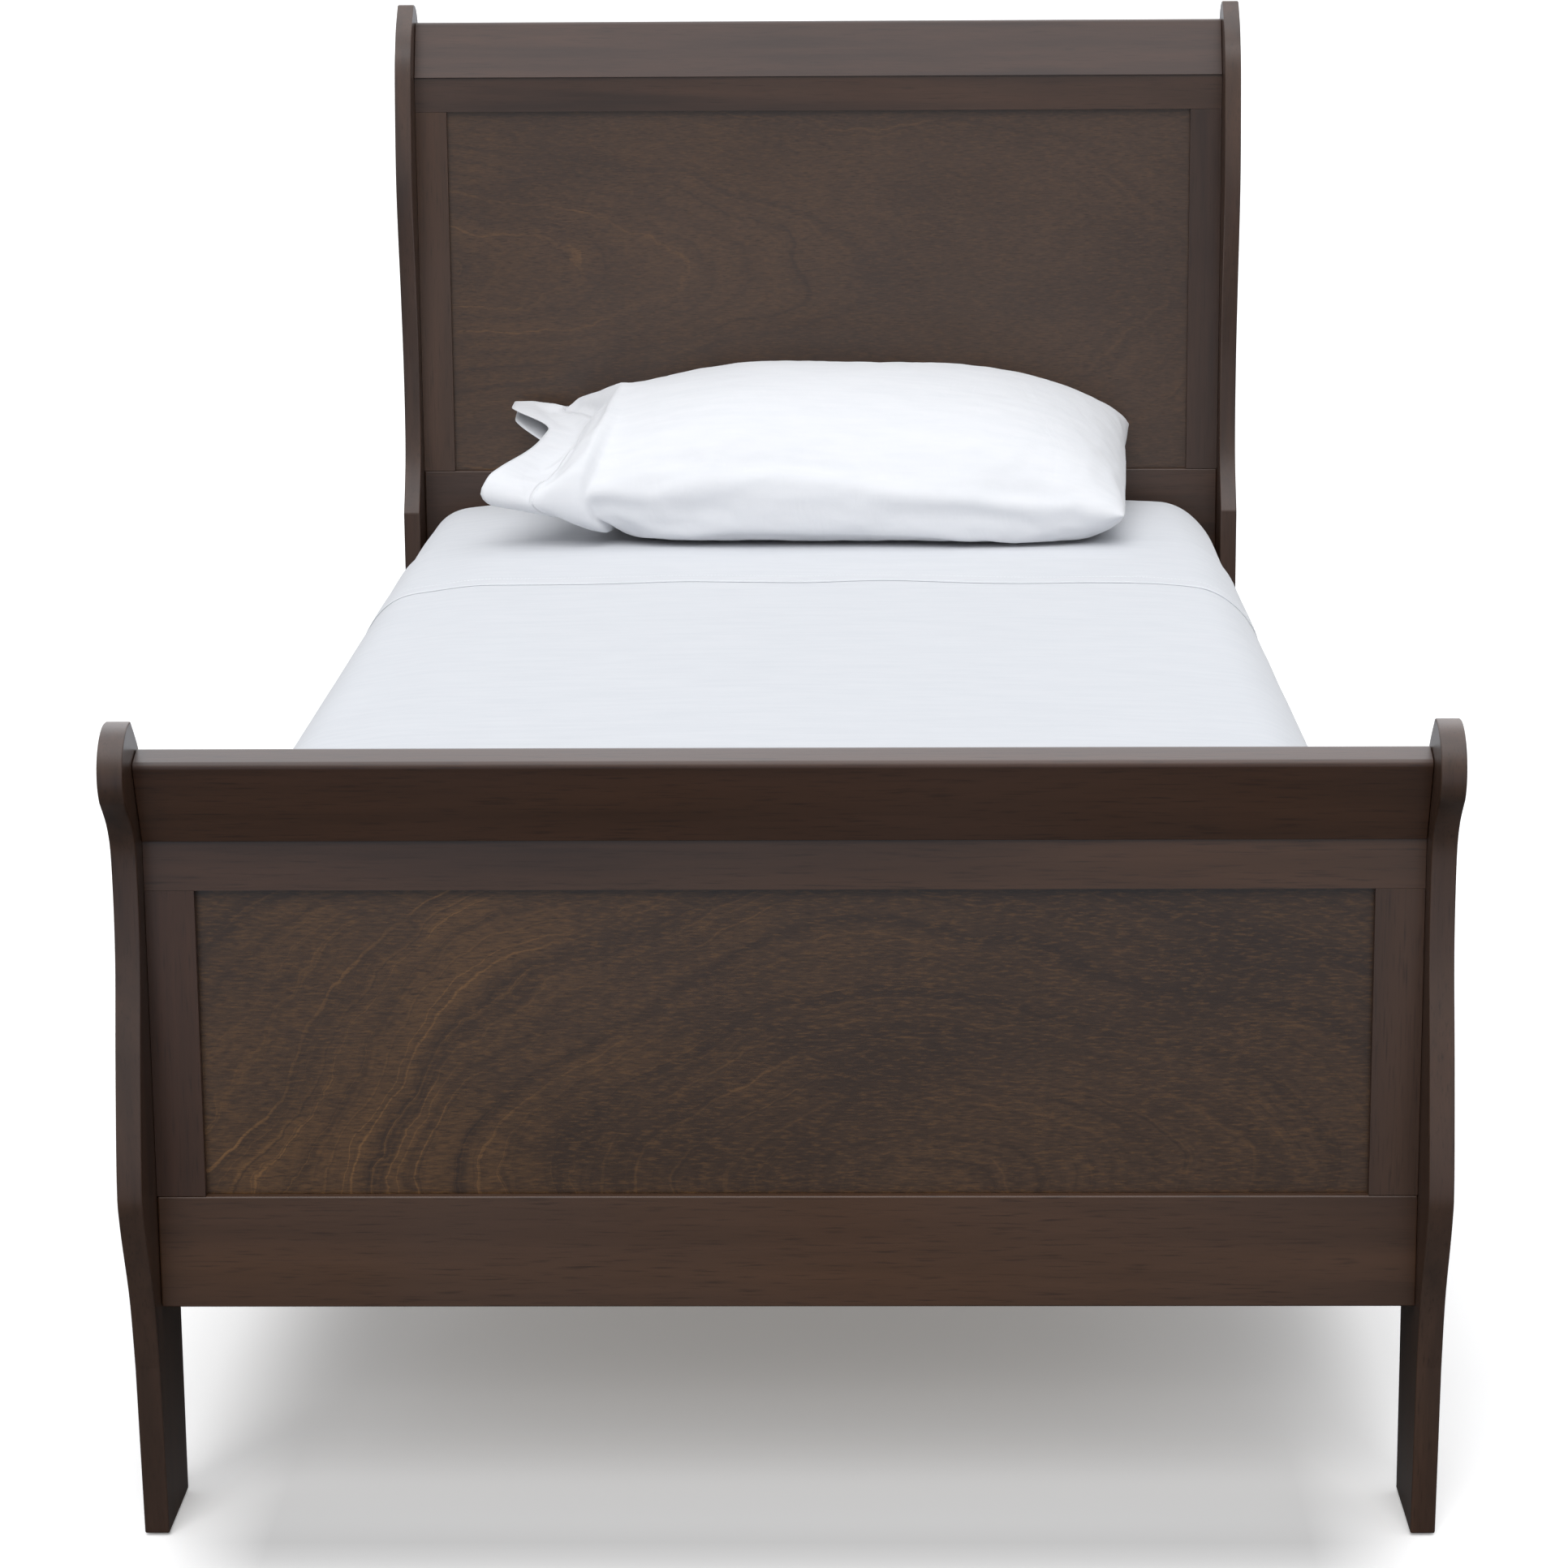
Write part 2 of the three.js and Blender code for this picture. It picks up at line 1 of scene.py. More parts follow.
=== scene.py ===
"""Looks for the sleigh bed: dark satin wood, slats, hardware, made-up mattress and pillow.

Everything is in metres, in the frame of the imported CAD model: +Z up, +Y to the headboard, +X to
the right of a person who stands at the foot of the bed.
"""

import math

import bmesh
import bpy
from mathutils import Matrix, Vector, noise


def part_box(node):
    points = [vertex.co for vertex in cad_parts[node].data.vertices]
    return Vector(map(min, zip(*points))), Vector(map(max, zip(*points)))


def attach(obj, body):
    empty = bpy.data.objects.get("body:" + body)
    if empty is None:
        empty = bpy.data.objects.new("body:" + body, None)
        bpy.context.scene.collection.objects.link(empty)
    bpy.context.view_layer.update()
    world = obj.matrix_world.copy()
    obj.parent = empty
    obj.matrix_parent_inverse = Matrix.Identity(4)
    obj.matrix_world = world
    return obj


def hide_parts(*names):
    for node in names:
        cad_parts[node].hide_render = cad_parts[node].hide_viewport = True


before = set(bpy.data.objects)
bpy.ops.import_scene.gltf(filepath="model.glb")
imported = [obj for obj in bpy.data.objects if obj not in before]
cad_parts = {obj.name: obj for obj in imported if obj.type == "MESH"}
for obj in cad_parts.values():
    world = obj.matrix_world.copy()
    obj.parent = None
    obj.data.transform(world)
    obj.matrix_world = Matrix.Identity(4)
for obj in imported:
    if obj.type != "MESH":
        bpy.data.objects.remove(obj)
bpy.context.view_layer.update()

MM = 0.001
ENDS = {"footboard": -1, "headboard": 1}
SIDES = {"left": -1, "right": 1}
FRAME_BODY = "bed_frame"
MATTRESS_BODY = "mattress_and_sheets"
PILLOW_BODY = "pillow_in_case"
FLOOR_GLOW = 0.20
DOME_LOW = (0.315, 0.315, 0.32, 1.0)
DOME_HIGH = (0.64, 0.66, 0.69, 1.0)


# ------------------------------------------------------------------ node helpers
class Nodes:
    """A node tree, built up call by call. Values are numbers, colours or other nodes' outputs."""

    def __init__(self, tree):
        self.tree = tree

    def node(self, kind, values=None, **settings):
        made = self.tree.nodes.new(kind)
        for key, value in settings.items():
            setattr(made, key, value)
        for key, value in (values or {}).items():
            self.feed(made.inputs[key], value)
        return made

    def feed(self, socket, value):
        if isinstance(value, bpy.types.NodeSocket):
            self.tree.links.new(value, socket)
        else:
            socket.default_value = value

    def axes(self, space):
        """The x, y and z of the place that is shaded."""
        place = self.node("ShaderNodeTexCoord").outputs[space]
        return self.node("ShaderNodeSeparateXYZ", {0: place}).outputs

    def math(self, operation, a, b=0.5):
        return self.node("ShaderNodeMath", {0: a, 1: b}, operation=operation).outputs[0]

    def times(self, a, b):
        return self.math("MULTIPLY", a, b)

    def spread(self, value, low, high, out_low=0.0, out_high=1.0):
        """The stretch from low to high, laid over the stretch from out_low to out_high."""
        values = {0: value, 1: low, 2: high, 3: out_low, 4: out_high}
        return self.node("ShaderNodeMapRange", values, clamp=True).outputs[0]

    def mix(self, factor, a, b, blend="MIX"):
        settings = {"data_type": "RGBA", "blend_type": blend, "clamp_factor": True}
        return self.node("ShaderNodeMix", {0: factor, 6: a, 7: b}, **settings).outputs[2]


class Shader(Nodes):
    """A material's nodes. One offset moves all of its noises, so that no two boards match."""

    def __init__(self, name, offset=(0.0, 0.0, 0.0)):
        self.material = bpy.data.materials.new(name)
        self.material.use_nodes = True
        super().__init__(self.material.node_tree)
        self.surface = self.tree.nodes["Principled BSDF"]
        self.offset = offset

    def set(self, **values):
        for key, value in values.items():
            self.feed(self.surface.inputs[key.replace("_", " ")], value)

    def place(self, scale, offset):
        where = self.node("ShaderNodeTexCoord").outputs["Object"]
        values = {"Vector": where, "Scale": scale, "Location": offset}
        return self.node("ShaderNodeMapping", values).outputs[0]

    def noise(self, scale, detail=3.0, rough=0.5, warp=0.0):
        """Noise over the object's own space, with a scale for each axis."""
        return self.noise_at(self.place(scale, self.offset), detail, rough, warp)

    def noise_at(self, vector, detail, rough, warp=0.0):
        values = {"Vector": vector, "Scale": 1.0, "Detail": detail, "Roughness": rough}
        values["Distortion"] = warp
        return self.node("ShaderNodeTexNoise", values).outputs["Fac"]

    def bump(self, height, distance, strength=1.0, normal=None):
        values = {"Height": height, "Distance": distance, "Strength": strength}
        if normal is not None:
            values["Normal"] = normal
        return self.node("ShaderNodeBump", values).outputs[0]


def rgb(red, green, blue):
    """A colour given as it looks on screen, 0 to 255, as the linear value that a shader wants."""

    def linear(value):
        value /= 255
        return value / 12.92 if value <= 0.04045 else ((value + 0.055) / 1.055) ** 2.4

    return (linear(red), linear(green), linear(blue), 1.0)


# ------------------------------------------------------------------ wood
ALONG = {"x": (2.2, 42.0, 42.0), "y": (42.0, 2.2, 42.0), "z": (42.0, 42.0, 2.2)}
PORES = {"x": (28.0, 620.0, 620.0), "y": (620.0, 28.0, 620.0), "z": (620.0, 620.0, 28.0)}

STAIN_DARK = rgb(40, 25, 16)
STAIN_MID = rgb(66, 45, 33)
STAIN_WARM = rgb(92, 62, 38)
STAIN_GREY = rgb(70, 55, 48)
VENEER_DARK = rgb(42, 29, 21)
VENEER_MID = rgb(66, 48, 35)
VENEER_GOLD = rgb(100, 71, 42)
VENEER_CREST = rgb(128, 92, 54)


def finish_stained(shader, colour, fibre, pores, gloss_noise, stain_depth_and_painted_shade=1.0):
    """The lacquer over stained wood: pores darken it and dent it, and the sheen varies a little."""
    colour = shader.mix(shader.spread(pores, 0.56, 0.74, 0.0, 0.75), colour, STAIN_DARK)
    if stain_depth_and_painted_shade < 1.0:
        # a deeper stain takes more from green and blue than from red; on the crowns it is painted shade
        deeper = (stain_depth_and_painted_shade, stain_depth_and_painted_shade * 0.90, stain_depth_and_painted_shade * 0.86, 1.0)
        colour = shader.mix(1.0, colour, deeper, "MULTIPLY")
    roughness = shader.spread(gloss_noise, 0.3, 0.7, 0.30, 0.40)
    depth = shader.math("ADD", shader.times(pores, -0.7), shader.times(fibre, 0.5))
    shader.set(Base_Color=colour, Roughness=roughness, Normal=shader.bump(depth, 0.12 * MM, 0.45))
    shader.set(Specular_IOR_Level=0.7)


def stained_wood(name, along, seed, warmth=0.5, stain_depth_and_painted_shade=1.0):
    """Straight-grained solid wood under dark stain, with the grain along one axis."""
    shader = Shader(name, (seed * 3.7, seed * 1.9, seed * 5.3))
    fibre = shader.noise(ALONG[along], 5.0, 0.62, 0.25)
    pores = shader.noise(PORES[along], 2.0, 0.5)
    broad = shader.noise(tuple(s * 0.13 for s in ALONG[along]), 2.0, 0.5, 0.6)
    cloud = shader.noise((3.0, 3.0, 3.0), 2.0)
    colour = shader.mix(shader.spread(fibre, 0.32, 0.68), STAIN_DARK, STAIN_MID)
    colour = shader.mix(shader.spread(broad, 0.45, 0.75, 0.0, warmth), colour, STAIN_WARM)
    colour = shader.mix(shader.spread(cloud, 0.35, 0.75, 0.0, 0.35), colour, STAIN_GREY)
    finish_stained(shader, colour, fibre, pores, cloud, stain_depth_and_painted_shade)
    return shader.material


def veneer_wood(name, middle, stretch, seed, gold_from, gold_to, figure, warmth):
    """Sliced veneer: faint nested ovals round a middle (x, z), bent by noise, under fine flecks. Its
    golden figure is strongest at gold_from and fades towards gold_to, two places along X."""
    shader = Shader(name, (seed * 2.3, seed, seed * 4.1))
    bend = shader.noise((1.7, 1.7, 3.4), 2.0, 0.5)
    sway = shader.noise((8.0, 8.0, 8.0), 3.0, 0.6)
    ripple = shader.noise((60.0, 60.0, 60.0), 3.0, 0.6)
    centred = shader.place((1 / stretch, 0.0, 1.0), (-middle[0] / stretch, 0.0, -middle[1]))
    radius = shader.node("ShaderNodeVectorMath", {0: centred}, operation="LENGTH").outputs["Value"]
    for part, size in ((bend, 0.16), (sway, 0.036), (ripple, 0.0052)):
        radius = shader.math("ADD", radius, shader.times(part, size))

    def rings(scale, detail, shift):
        swept = shader.times(radius, scale)
        along = shader.node("ShaderNodeCombineXYZ", {0: swept, 1: seed + shift}).outputs[0]
        return shader.noise_at(along, detail, 0.62)

    growth = rings(58.0, 4.0, 0.0)
    crests = rings(190.0, 3.0, 5.0)
    valleys = rings(150.0, 3.0, 9.0)
    flecks = shader.noise((90.0, 520.0, 520.0), 3.0, 0.7)
    pores = shader.noise((95.0, 900.0, 900.0), 1.0, 0.5)
    cloud = shader.noise((2.6, 2.6, 5.0), 4.0, 0.6)
    patch = shader.noise((6.0, 6.0, 9.0), 4.0, 0.6, 0.5)
    golden = shader.spread(shader.axes("Object")[0], gold_from, gold_to, 1.0, 0.25)
    golden = shader.times(golden, shader.spread(patch, 0.38, 0.60, 0.25, 1.0))
    seen = shader.times(shader.spread(patch, 0.34, 0.58, 0.45, 1.0), figure)

    colour = shader.mix(shader.spread(cloud, 0.32, 0.66), VENEER_DARK, VENEER_MID)
    colour = shader.mix(shader.times(golden, 0.50 * warmth), colour, VENEER_GOLD)
    grown = shader.times(shader.spread(growth, 0.52, 0.36), seen)
    colour = shader.mix(grown, colour, VENEER_DARK)
    lit = shader.times(shader.spread(crests, 0.56, 0.66), seen)
    colour = shader.mix(shader.times(lit, golden), colour, VENEER_CREST)
    hollow = shader.times(shader.spread(valleys, 0.43, 0.32), seen)
    colour = shader.mix(hollow, colour, VENEER_DARK)
    colour = shader.mix(shader.spread(flecks, 0.50, 0.68, 0.0, 0.60), colour, VENEER_DARK)
    colour = shader.mix(shader.spread(flecks, 0.48, 0.34, 0.0, 0.50 * warmth), colour, VENEER_GOLD)
    colour = shader.mix(1.0 - warmth, colour, STAIN_GREY)
    finish_stained(shader, colour, flecks, pores, cloud)
    return shader.material


def pale_wood(name, along, dark, light, seed):
    """Unfinished softwood or beech: pale, with soft growth lines and a matt surface."""
    shader = Shader(name, (seed, seed * 2.0, seed * 0.7))
    fibre = shader.noise(ALONG[along], 5.0, 0.6, 0.5)
    broad = shader.noise(tuple(s * 0.4 for s in ALONG[along]), 3.0, 0.5, 1.2)
    colour = shader.mix(shader.spread(fibre, 0.3, 0.7), dark, light)
    colour = shader.mix(shader.spread(broad, 0.5, 0.62, 0.0, 0.35), colour, dark)
    shader.set(Base_Color=colour, Roughness=shader.spread(fibre, 0.3, 0.7, 0.55, 0.72))
    shader.set(Normal=shader.bump(fibre, 0.25 * MM, 0.5))
    return shader.material


# ------------------------------------------------------------------ metal, nylon and cloth
def zinc_steel(name):
    shader = Shader(name)
    brushed = shader.noise((900.0, 60.0, 900.0), 3.0)
    cloud = shader.noise((40.0, 40.0, 40.0), 3.0)
    colour = shader.mix(shader.spread(cloud, 0.35, 0.65), rgb(168, 166, 158), rgb(196, 195, 190))
    shader.set(Base_Color=colour, Metallic=1.0, Roughness=shader.spread(brushed, 0.3, 0.7, 0.26, 0.42))
    shader.set(Normal=shader.bump(brushed, 0.03 * MM, 0.4))
    return shader.material


def moulded_nylon(name):
    shader = Shader(name)
    grain = shader.noise((700.0, 700.0, 700.0), 2.0)
    shader.set(Base_Color=shader.mix(grain, rgb(30, 29, 28), rgb(52, 50, 48)))
    shader.set(Roughness=shader.spread(grain, 0.3, 0.7, 0.42, 0.6))
    shader.set(Normal=shader.bump(grain, 0.05 * MM, 0.5))
    return shader.material


def woven_cloth(name, light, shade, threads=2600.0, crease=0.6 * MM, hem_at=None):
    """Plain-woven cotton: two crossed sets of threads, slubs, and faint creases from the wash. Where
    there is a hem, its stitching draws a fine groove at that distance along the flat cloth."""
    shader = Shader(name)
    warp = shader.noise((threads, threads * 0.06, threads), 1.0)
    weft = shader.noise((threads * 0.06, threads, threads), 1.0)
    slub = shader.noise((14.0, 90.0, 40.0), 3.0, 0.6)
    wash = shader.noise((9.0, 7.0, 9.0), 4.0, 0.55, 0.8)
    threads_up = shader.math("ADD", warp, weft)
    colour = shader.mix(shader.spread(slub, 0.35, 0.7, 0.0, 0.5), light, shade)
    weave = shader.bump(threads_up, 0.08 * MM, 0.35)
    shader.set(Base_Color=colour, Roughness=shader.spread(slub, 0.3, 0.7, 0.78, 0.9))
    if hem_at is not None:
        flat = shader.node("ShaderNodeUVMap", uv_map="flat_cloth").outputs[0]
        along = shader.node("ShaderNodeSeparateXYZ", {0: flat}).outputs[0]
        off_line = shader.math("ABSOLUTE", shader.math("SUBTRACT", along, hem_at))
        weave = shader.bump(shader.spread(off_line, 0.0, 2.5 * MM), 1.2 * MM, 0.9, weave)
        wash = shader.math("ADD", wash, shader.noise((30.0, 12.0, 16.0), 3.0, 0.5, 1.5))
    shader.set(Normal=shader.bump(wash, crease, 0.5, weave))
    shader.set(Sheen_Weight=0.25, Sheen_Roughness=0.45, Specular_IOR_Level=0.3)
    return shader.material


# ------------------------------------------------------------------ mesh helpers
SHARP = 50  # degrees: an edge that turns more than this is an arris, and is eased


def add_object(name, data):
    made = bpy.data.objects.new(name, data)
    bpy.context.scene.collection.objects.link(made)
    return made


def quad_mesh(name, points, quads):
    mesh = bpy.data.meshes.new(name)
    mesh.from_pydata([tuple(p) for p in points], [], quads)
    return mesh


def show(name, mesh, material, body, replaces=()):
    piece = add_object(name, mesh)
    mesh.materials.clear()
    mesh.materials.append(material)
    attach(piece, body)
    if replaces:
        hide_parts(*replaces)
    return piece


def ease_edges(piece, width, segments=2, clamp=True):
    """Rounds the piece's sharp arrises and keeps its flat faces flat. Clamping holds the rounding down
    to what the shortest edge has room for."""
    for polygon in piece.data.polygons:
        polygon.use_smooth = True
    bevel = piece.modifiers.new("eased_edges", "BEVEL")
    bevel.width = width
    bevel.segments = segments
    bevel.limit_method = "ANGLE"
    bevel.angle_limit = math.radians(SHARP)
    bevel.use_clamp_overlap = clamp
    normals = piece.modifiers.new("flat_faces", "WEIGHTED_NORMAL")
    normals.keep_sharp = True


def mesh_from(name, build):
    """A mesh made by a function that fills a bmesh."""
    shape = bmesh.new()
    build(shape)
    mesh = bpy.data.meshes.new(name)
    shape.to_mesh(mesh)
    shape.free()
    return mesh


def eased_copy(node, material, width, segments=2, clamp=True):
    """The CAD node's own shape with its coplanar triangles merged and its edges eased."""

    def build(shape):
        shape.from_mesh(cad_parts[node].data)
        bmesh.ops.remove_doubles(shape, verts=shape.verts, dist=1e-6)
        bmesh.ops.dissolve_limit(shape, angle_limit=math.radians(1), verts=shape.verts, edges=shape.edges)

    mesh = mesh_from(f"{node}_wood", build)
    piece = show(f"{node}_wood", mesh, material, FRAME_BODY, [node])
    ease_edges(piece, width, segments, clamp=clamp)
    return piece


def outline_of(node, plane):
    """The closed loop of corners round a node's flat face on a plane of constant x."""
    shape = bmesh.new()
    shape.from_mesh(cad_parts[node].data)
    bmesh.ops.remove_doubles(shape, verts=shape.verts, dist=1e-6)
    on_plane = {v for v in shape.verts if abs(v.co.x - plane) < 1e-5}
    faces = [f for f in shape.faces if all(v in on_plane for v in f.verts)]
    left = [e for e in shape.edges if sum(f in faces for f in e.link_faces) == 1]
    loops = []
    while left:
        edge = left.pop()
        loop = [edge.verts[0], edge.verts[1]]
        while True:
            following = next((e for e in loop[-1].link_edges if e in left), None)
            if following is None:
                break
            left.remove(following)
            loop.append(following.other_vert(loop[-1]))
        loops.append([Vector((v.co.y, v.co.z)) for v in loop[:-1]])
    shape.free()
    return max(loops, key=len)


def smooth_outline(points, corner=28.0, straight=45 * MM, steps=3):
    """The same outline with its curved stretches drawn finer; corners and long straights stay."""
    count = len(points)
    ahead = [points[(i + 1) % count] - points[i] for i in range(count)]

    def direction(i, own):
        before, after = ahead[i - 1], ahead[i]
        if math.degrees(before.angle(after)) > corner:
            return own.normalized()
        return (before.normalized() * after.length + after.normalized() * before.length).normalized()

    finer = []
    for i in range(count):
        start, step = points[i], ahead[i]
        finer.append(start)
        if step.length > straight:
            continue
        leave = direction(i, step) * step.length
        arrive = direction((i + 1) % count, step) * step.length
        for k in range(1, steps):
            t = k / steps
            weights = (2 * t**3 - 3 * t**2 + 1, t**3 - 2 * t**2 + t, 3 * t**2 - 2 * t**3, t**3 - t**2)
            most = start * weights[0] + leave * weights[1] + (start + step) * weights[2]
            finer.append(most + arrive * weights[3])
    return finer


def skin_rings(shape, rings):
    """Faces between rings of points that follow one another, and over both ends."""
    for one, two in zip(rings, rings[1:]):
        for k in range(len(one)):
            j = (k + 1) % len(one)
            shape.faces.new((one[k], one[j], two[j], two[k]))
    shape.faces.new(rings[0][::-1])
    shape.faces.new(rings[-1])


def subdivide(piece):
    finer = piece.modifiers.new("finer", "SUBSURF")
    finer.levels = finer.render_levels = 1


def prism_along_x(name, outline, x0, x1):
    def build(shape):
        near = [shape.verts.new((x0, p.x, p.y)) for p in outline]
        far = [shape.verts.new((x1, p.x, p.y)) for p in outline]
        shape.faces.new(near)
        shape.faces.new(far[::-1])
        for i in range(len(outline)):
            j = (i + 1) % len(outline)
            shape.faces.new((near[i], far[i], far[j], near[j]))
        bmesh.ops.recalc_face_normals(shape, faces=shape.faces)

    return mesh_from(name, build)


# ------------------------------------------------------------------ wooden frame
def make_posts():
    for end in ENDS:
        for side, sign in SIDES.items():
            node = f"{end}_post_{side}"
            low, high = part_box(node)
            plane = high.x if sign > 0 else low.x
            outline = smooth_outline(outline_of(node, plane))
            mesh = prism_along_x(node, outline, low.x, high.x)
            wood = stained_wood(f"{node}_stain", "z", 3.1 + sign + 5 * ENDS[end], 0.35)
            piece = show(f"{node}_wood", mesh, wood, FRAME_BODY, [node])
            ease_edges(piece, 1.6 * MM, 3)


def round_corner(before, corner, after, radius, steps=6):
    """Points that round a corner off with an arc of the given radius."""
    to_before, to_after = (before - corner).normalized(), (after - corner).normalized()
    half = to_before.angle(to_after) / 2
    middle = corner + (to_before + to_after).normalized() * (radius / math.sin(half))
    start = corner + to_before * (radius / math.tan(half)) - middle
    sweep = start.angle_signed(corner + to_after * (radius / math.tan(half)) - middle)
    turns = [Matrix.Rotation(-sweep * k / steps, 2) for k in range(steps + 1)]
    return [middle + turn @ start for turn in turns]


def make_crowns():
    """Flat leaning boards with well rounded top arrises."""
    for end, sign in ENDS.items():
        node = f"{end}_crown"
        low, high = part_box(node)
        corners = outline_of(node, low.x)
        outline = []
        for i, corner in enumerate(corners):
            if corner.y > low.z + 1 * MM:
                outline += round_corner(corners[i - 1], corner, corners[(i + 1) % len(corners)], 5 * MM)
            else:
                outline.append(corner)
        mesh = prism_along_x(node, outline, low.x, high.x)
        # both crowns are stained deeper than the other boards: painted shade, deepest on the footboard's
        # crown, whose face looks down
        wood = stained_wood(f"{node}_stain", "x", 8.3 + sign, 0.45, 0.86 if end == "footboard" else 0.92)
        piece = show(f"{node}_wood", mesh, wood, FRAME_BODY, [node])
        ease_edges(piece, 0.8 * MM)


def make_flat_pieces():
    grain = {"bottom_rail": "x", "top_rail": "x", "stile_left": "z", "stile_right": "z"}
    # boards coloured unlike the rest, as warmth and depth of stain: the headboard's right stile is warmer,
    # a painted golden highlight, and the footboard's left stile darker
    tones_and_painted_highlight = {"footboard_stile_left": (0.4, 0.86), "headboard_stile_right": (1.0, 1.0)}
    for end, sign in ENDS.items():
        for i, (part, along) in enumerate(grain.items()):
            warmth, depth = tones_and_painted_highlight.get(f"{end}_{part}", (0.5, 1.0))
            wood = stained_wood(f"{end}_{part}_stain", along, 12.7 + 2.3 * i + sign, warmth, depth)
            if part == "bottom_rail":
                eased_copy(f"{end}_{part}", wood, 1.8 * MM, 3, clamp=False)
            else:
                eased_copy(f"{end}_{part}", wood, 0.9 * MM)
    eased_copy("headboard_stretcher", stained_wood("stretcher_stain", "x", 31.0), 1.2 * MM)
    for side, sign in SIDES.items():
        wood = stained_wood(f"side_rail_{side}_stain", "y", 40.0 + sign)
        eased_copy(f"side_rail_{side}", wood, 1.5 * MM)
    foot = veneer_wood("footboard_veneer", (0.12, 0.30), 1.8, 2.0, -0.36, 0.20, 0.90, 1.0)
    head = veneer_wood("headboard_veneer", (-0.62, 0.86), 4.0, 7.0, -0.42, 0.30, 0.70, 0.75)
    eased_copy("footboard_panel", foot, 0.3 * MM)
    eased_copy("headboard_panel", head, 0.3 * MM)


def make_base():
    for side in SIDES:
        wood = pale_wood(f"slat_cleat_{side}_pine", "y", rgb(176, 138, 92), rgb(214, 184, 138), 2.0)
        eased_copy(f"slat_cleat_{side}", wood, 1.5 * MM)
    slats = sorted(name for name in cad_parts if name.startswith("slat_") and "cleat" not in name)
    for i, node in enumerate(slats):
        wood = pale_wood(f"{node}_pine", "x", rgb(182, 144, 98), rgb(220, 190, 145), 5.0 + 1.7 * i)
        eased_copy(node, wood, 2.0 * MM)


def finish_hardware():
    """The CAD's dowels, plates and glides keep their shape and take detailed materials."""
    beech = pale_wood("beech_dowel", "x", rgb(186, 148, 108), rgb(218, 188, 150), 9.0)
    steel = zinc_steel("zinc_plated_steel")
    nylon = moulded_nylon("black_nylon")
    for node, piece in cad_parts.items():
        for mark, material in (("_dowel_", beech), ("_plate_", steel), ("foot_glide_", nylon)):
            if mark in node:
                piece.data.materials.clear()
                piece.data.materials.append(material)
    make_screws(steel)


def add_screw_head(shape, centre, outward, radius=3.8 * MM):
    """A countersunk head that stands 0.4 mm proud, with a cross recess."""
    u = outward.orthogonal().normalized()
    v = outward.cross(u)
    spokes = 24

    def ring(level, size, cross=False):
        points = []
        for k in range(spokes):
            turn = 2 * math.pi * k / spokes
            reach = size * (0.32 if cross and k % 6 in (2, 3, 4) else 1.0)
            points.append(centre + outward * level + (u * math.cos(turn) + v * math.sin(turn)) * reach)
        return [shape.verts.new(p) for p in points]

    rings = [ring(-0.6 * MM, radius), ring(0.15 * MM, radius), ring(0.4 * MM, radius * 0.86)]
    rings += [ring(0.4 * MM, radius * 0.62, True), ring(-0.5 * MM, radius * 0.40, True)]
    skin_rings(shape, rings)


def make_screws(steel):
    """One screw down through each end of each slat, and six across through each cleat."""

    def slat_screws(shape):
        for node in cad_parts:
            if node.startswith("slat_") and "cleat" not in node:
                low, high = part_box(node)
                for x in (low.x + 10 * MM, high.x - 10 * MM):
                    add_screw_head(shape, Vector((x, (low.y + high.y) / 2, high.z)), Vector((0, 0, 1)))
        bmesh.ops.recalc_face_normals(shape, faces=shape.faces)

    def cleat_screws(shape):
        for side, sign in SIDES.items():
            low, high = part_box(f"slat_cleat_{side}")
            face = low.x if sign > 0 else high.x
            for k in range(6):
                y = low.y + (high.y - low.y) * (k + 0.5) / 6
                add_screw_head(shape, Vector((face, y, (low.z + high.z) / 2)), Vector((-sign, 0, 0)))
        bmesh.ops.recalc_face_normals(shape, faces=shape.faces)

    show("slat_screws", mesh_from("slat_screws", slat_screws), steel, FRAME_BODY)
    show("cleat_screws", mesh_from("cleat_screws", cleat_screws), steel, FRAME_BODY)


# ------------------------------------------------------------------ mattress and sheets
MATTRESS = ((-0.5105, 0.4985), (-0.948, 0.956), (0.3305, 0.5525))
ROLL = 55 * MM
TUCK = 32 * MM
CLOTH = 0.8 * MM
FITTED_LIFT = 1.0 * MM
TOP_LIFT = 2.4 * MM
CUFF_LIFT = 3.7 * MM
FOLD_Y = 0.612
HEM_Y = 0.322
HEM_WIDTH = 28 * MM
RIGHT_SIDE = {"sink": 3 * MM, "bulge": 20 * MM, "bulge_top": 0.575, "bulge_ends": (0.965, 0.90)}
LEFT_SIDE = {"sink": 8 * MM, "bulge": 15 * MM, "bulge_top": 0.55, "bulge_ends": (0.90, 0.80)}
FOLD_STEP = 6 * MM
CUFF_ROWS = 17
STITCH_PITCH, STITCH_LENGTH, STITCH_RADIUS = 4.2 * MM, 2.6 * MM, 0.28 * MM


def ramp(value, start, end):
    """0 at start, 1 at end, smooth between them."""
    t = min(max((value - start) / (end - start), 0.0), 1.0)
    return t * t * (3 - 2 * t)


def places(low, high, step, edge_step=8 * MM):
    """Places from low to high, closer together over the rolled edges."""
    marks = [low, low + ROLL, high - ROLL, high]
    found = [low]
    for start, end, size in zip(marks, marks[1:], (edge_step, step, edge_step)):
        count = max(1, round((end - start) / size))
        found += [start + (end - start) * (k + 1) / count for k in range(count)]
    return found


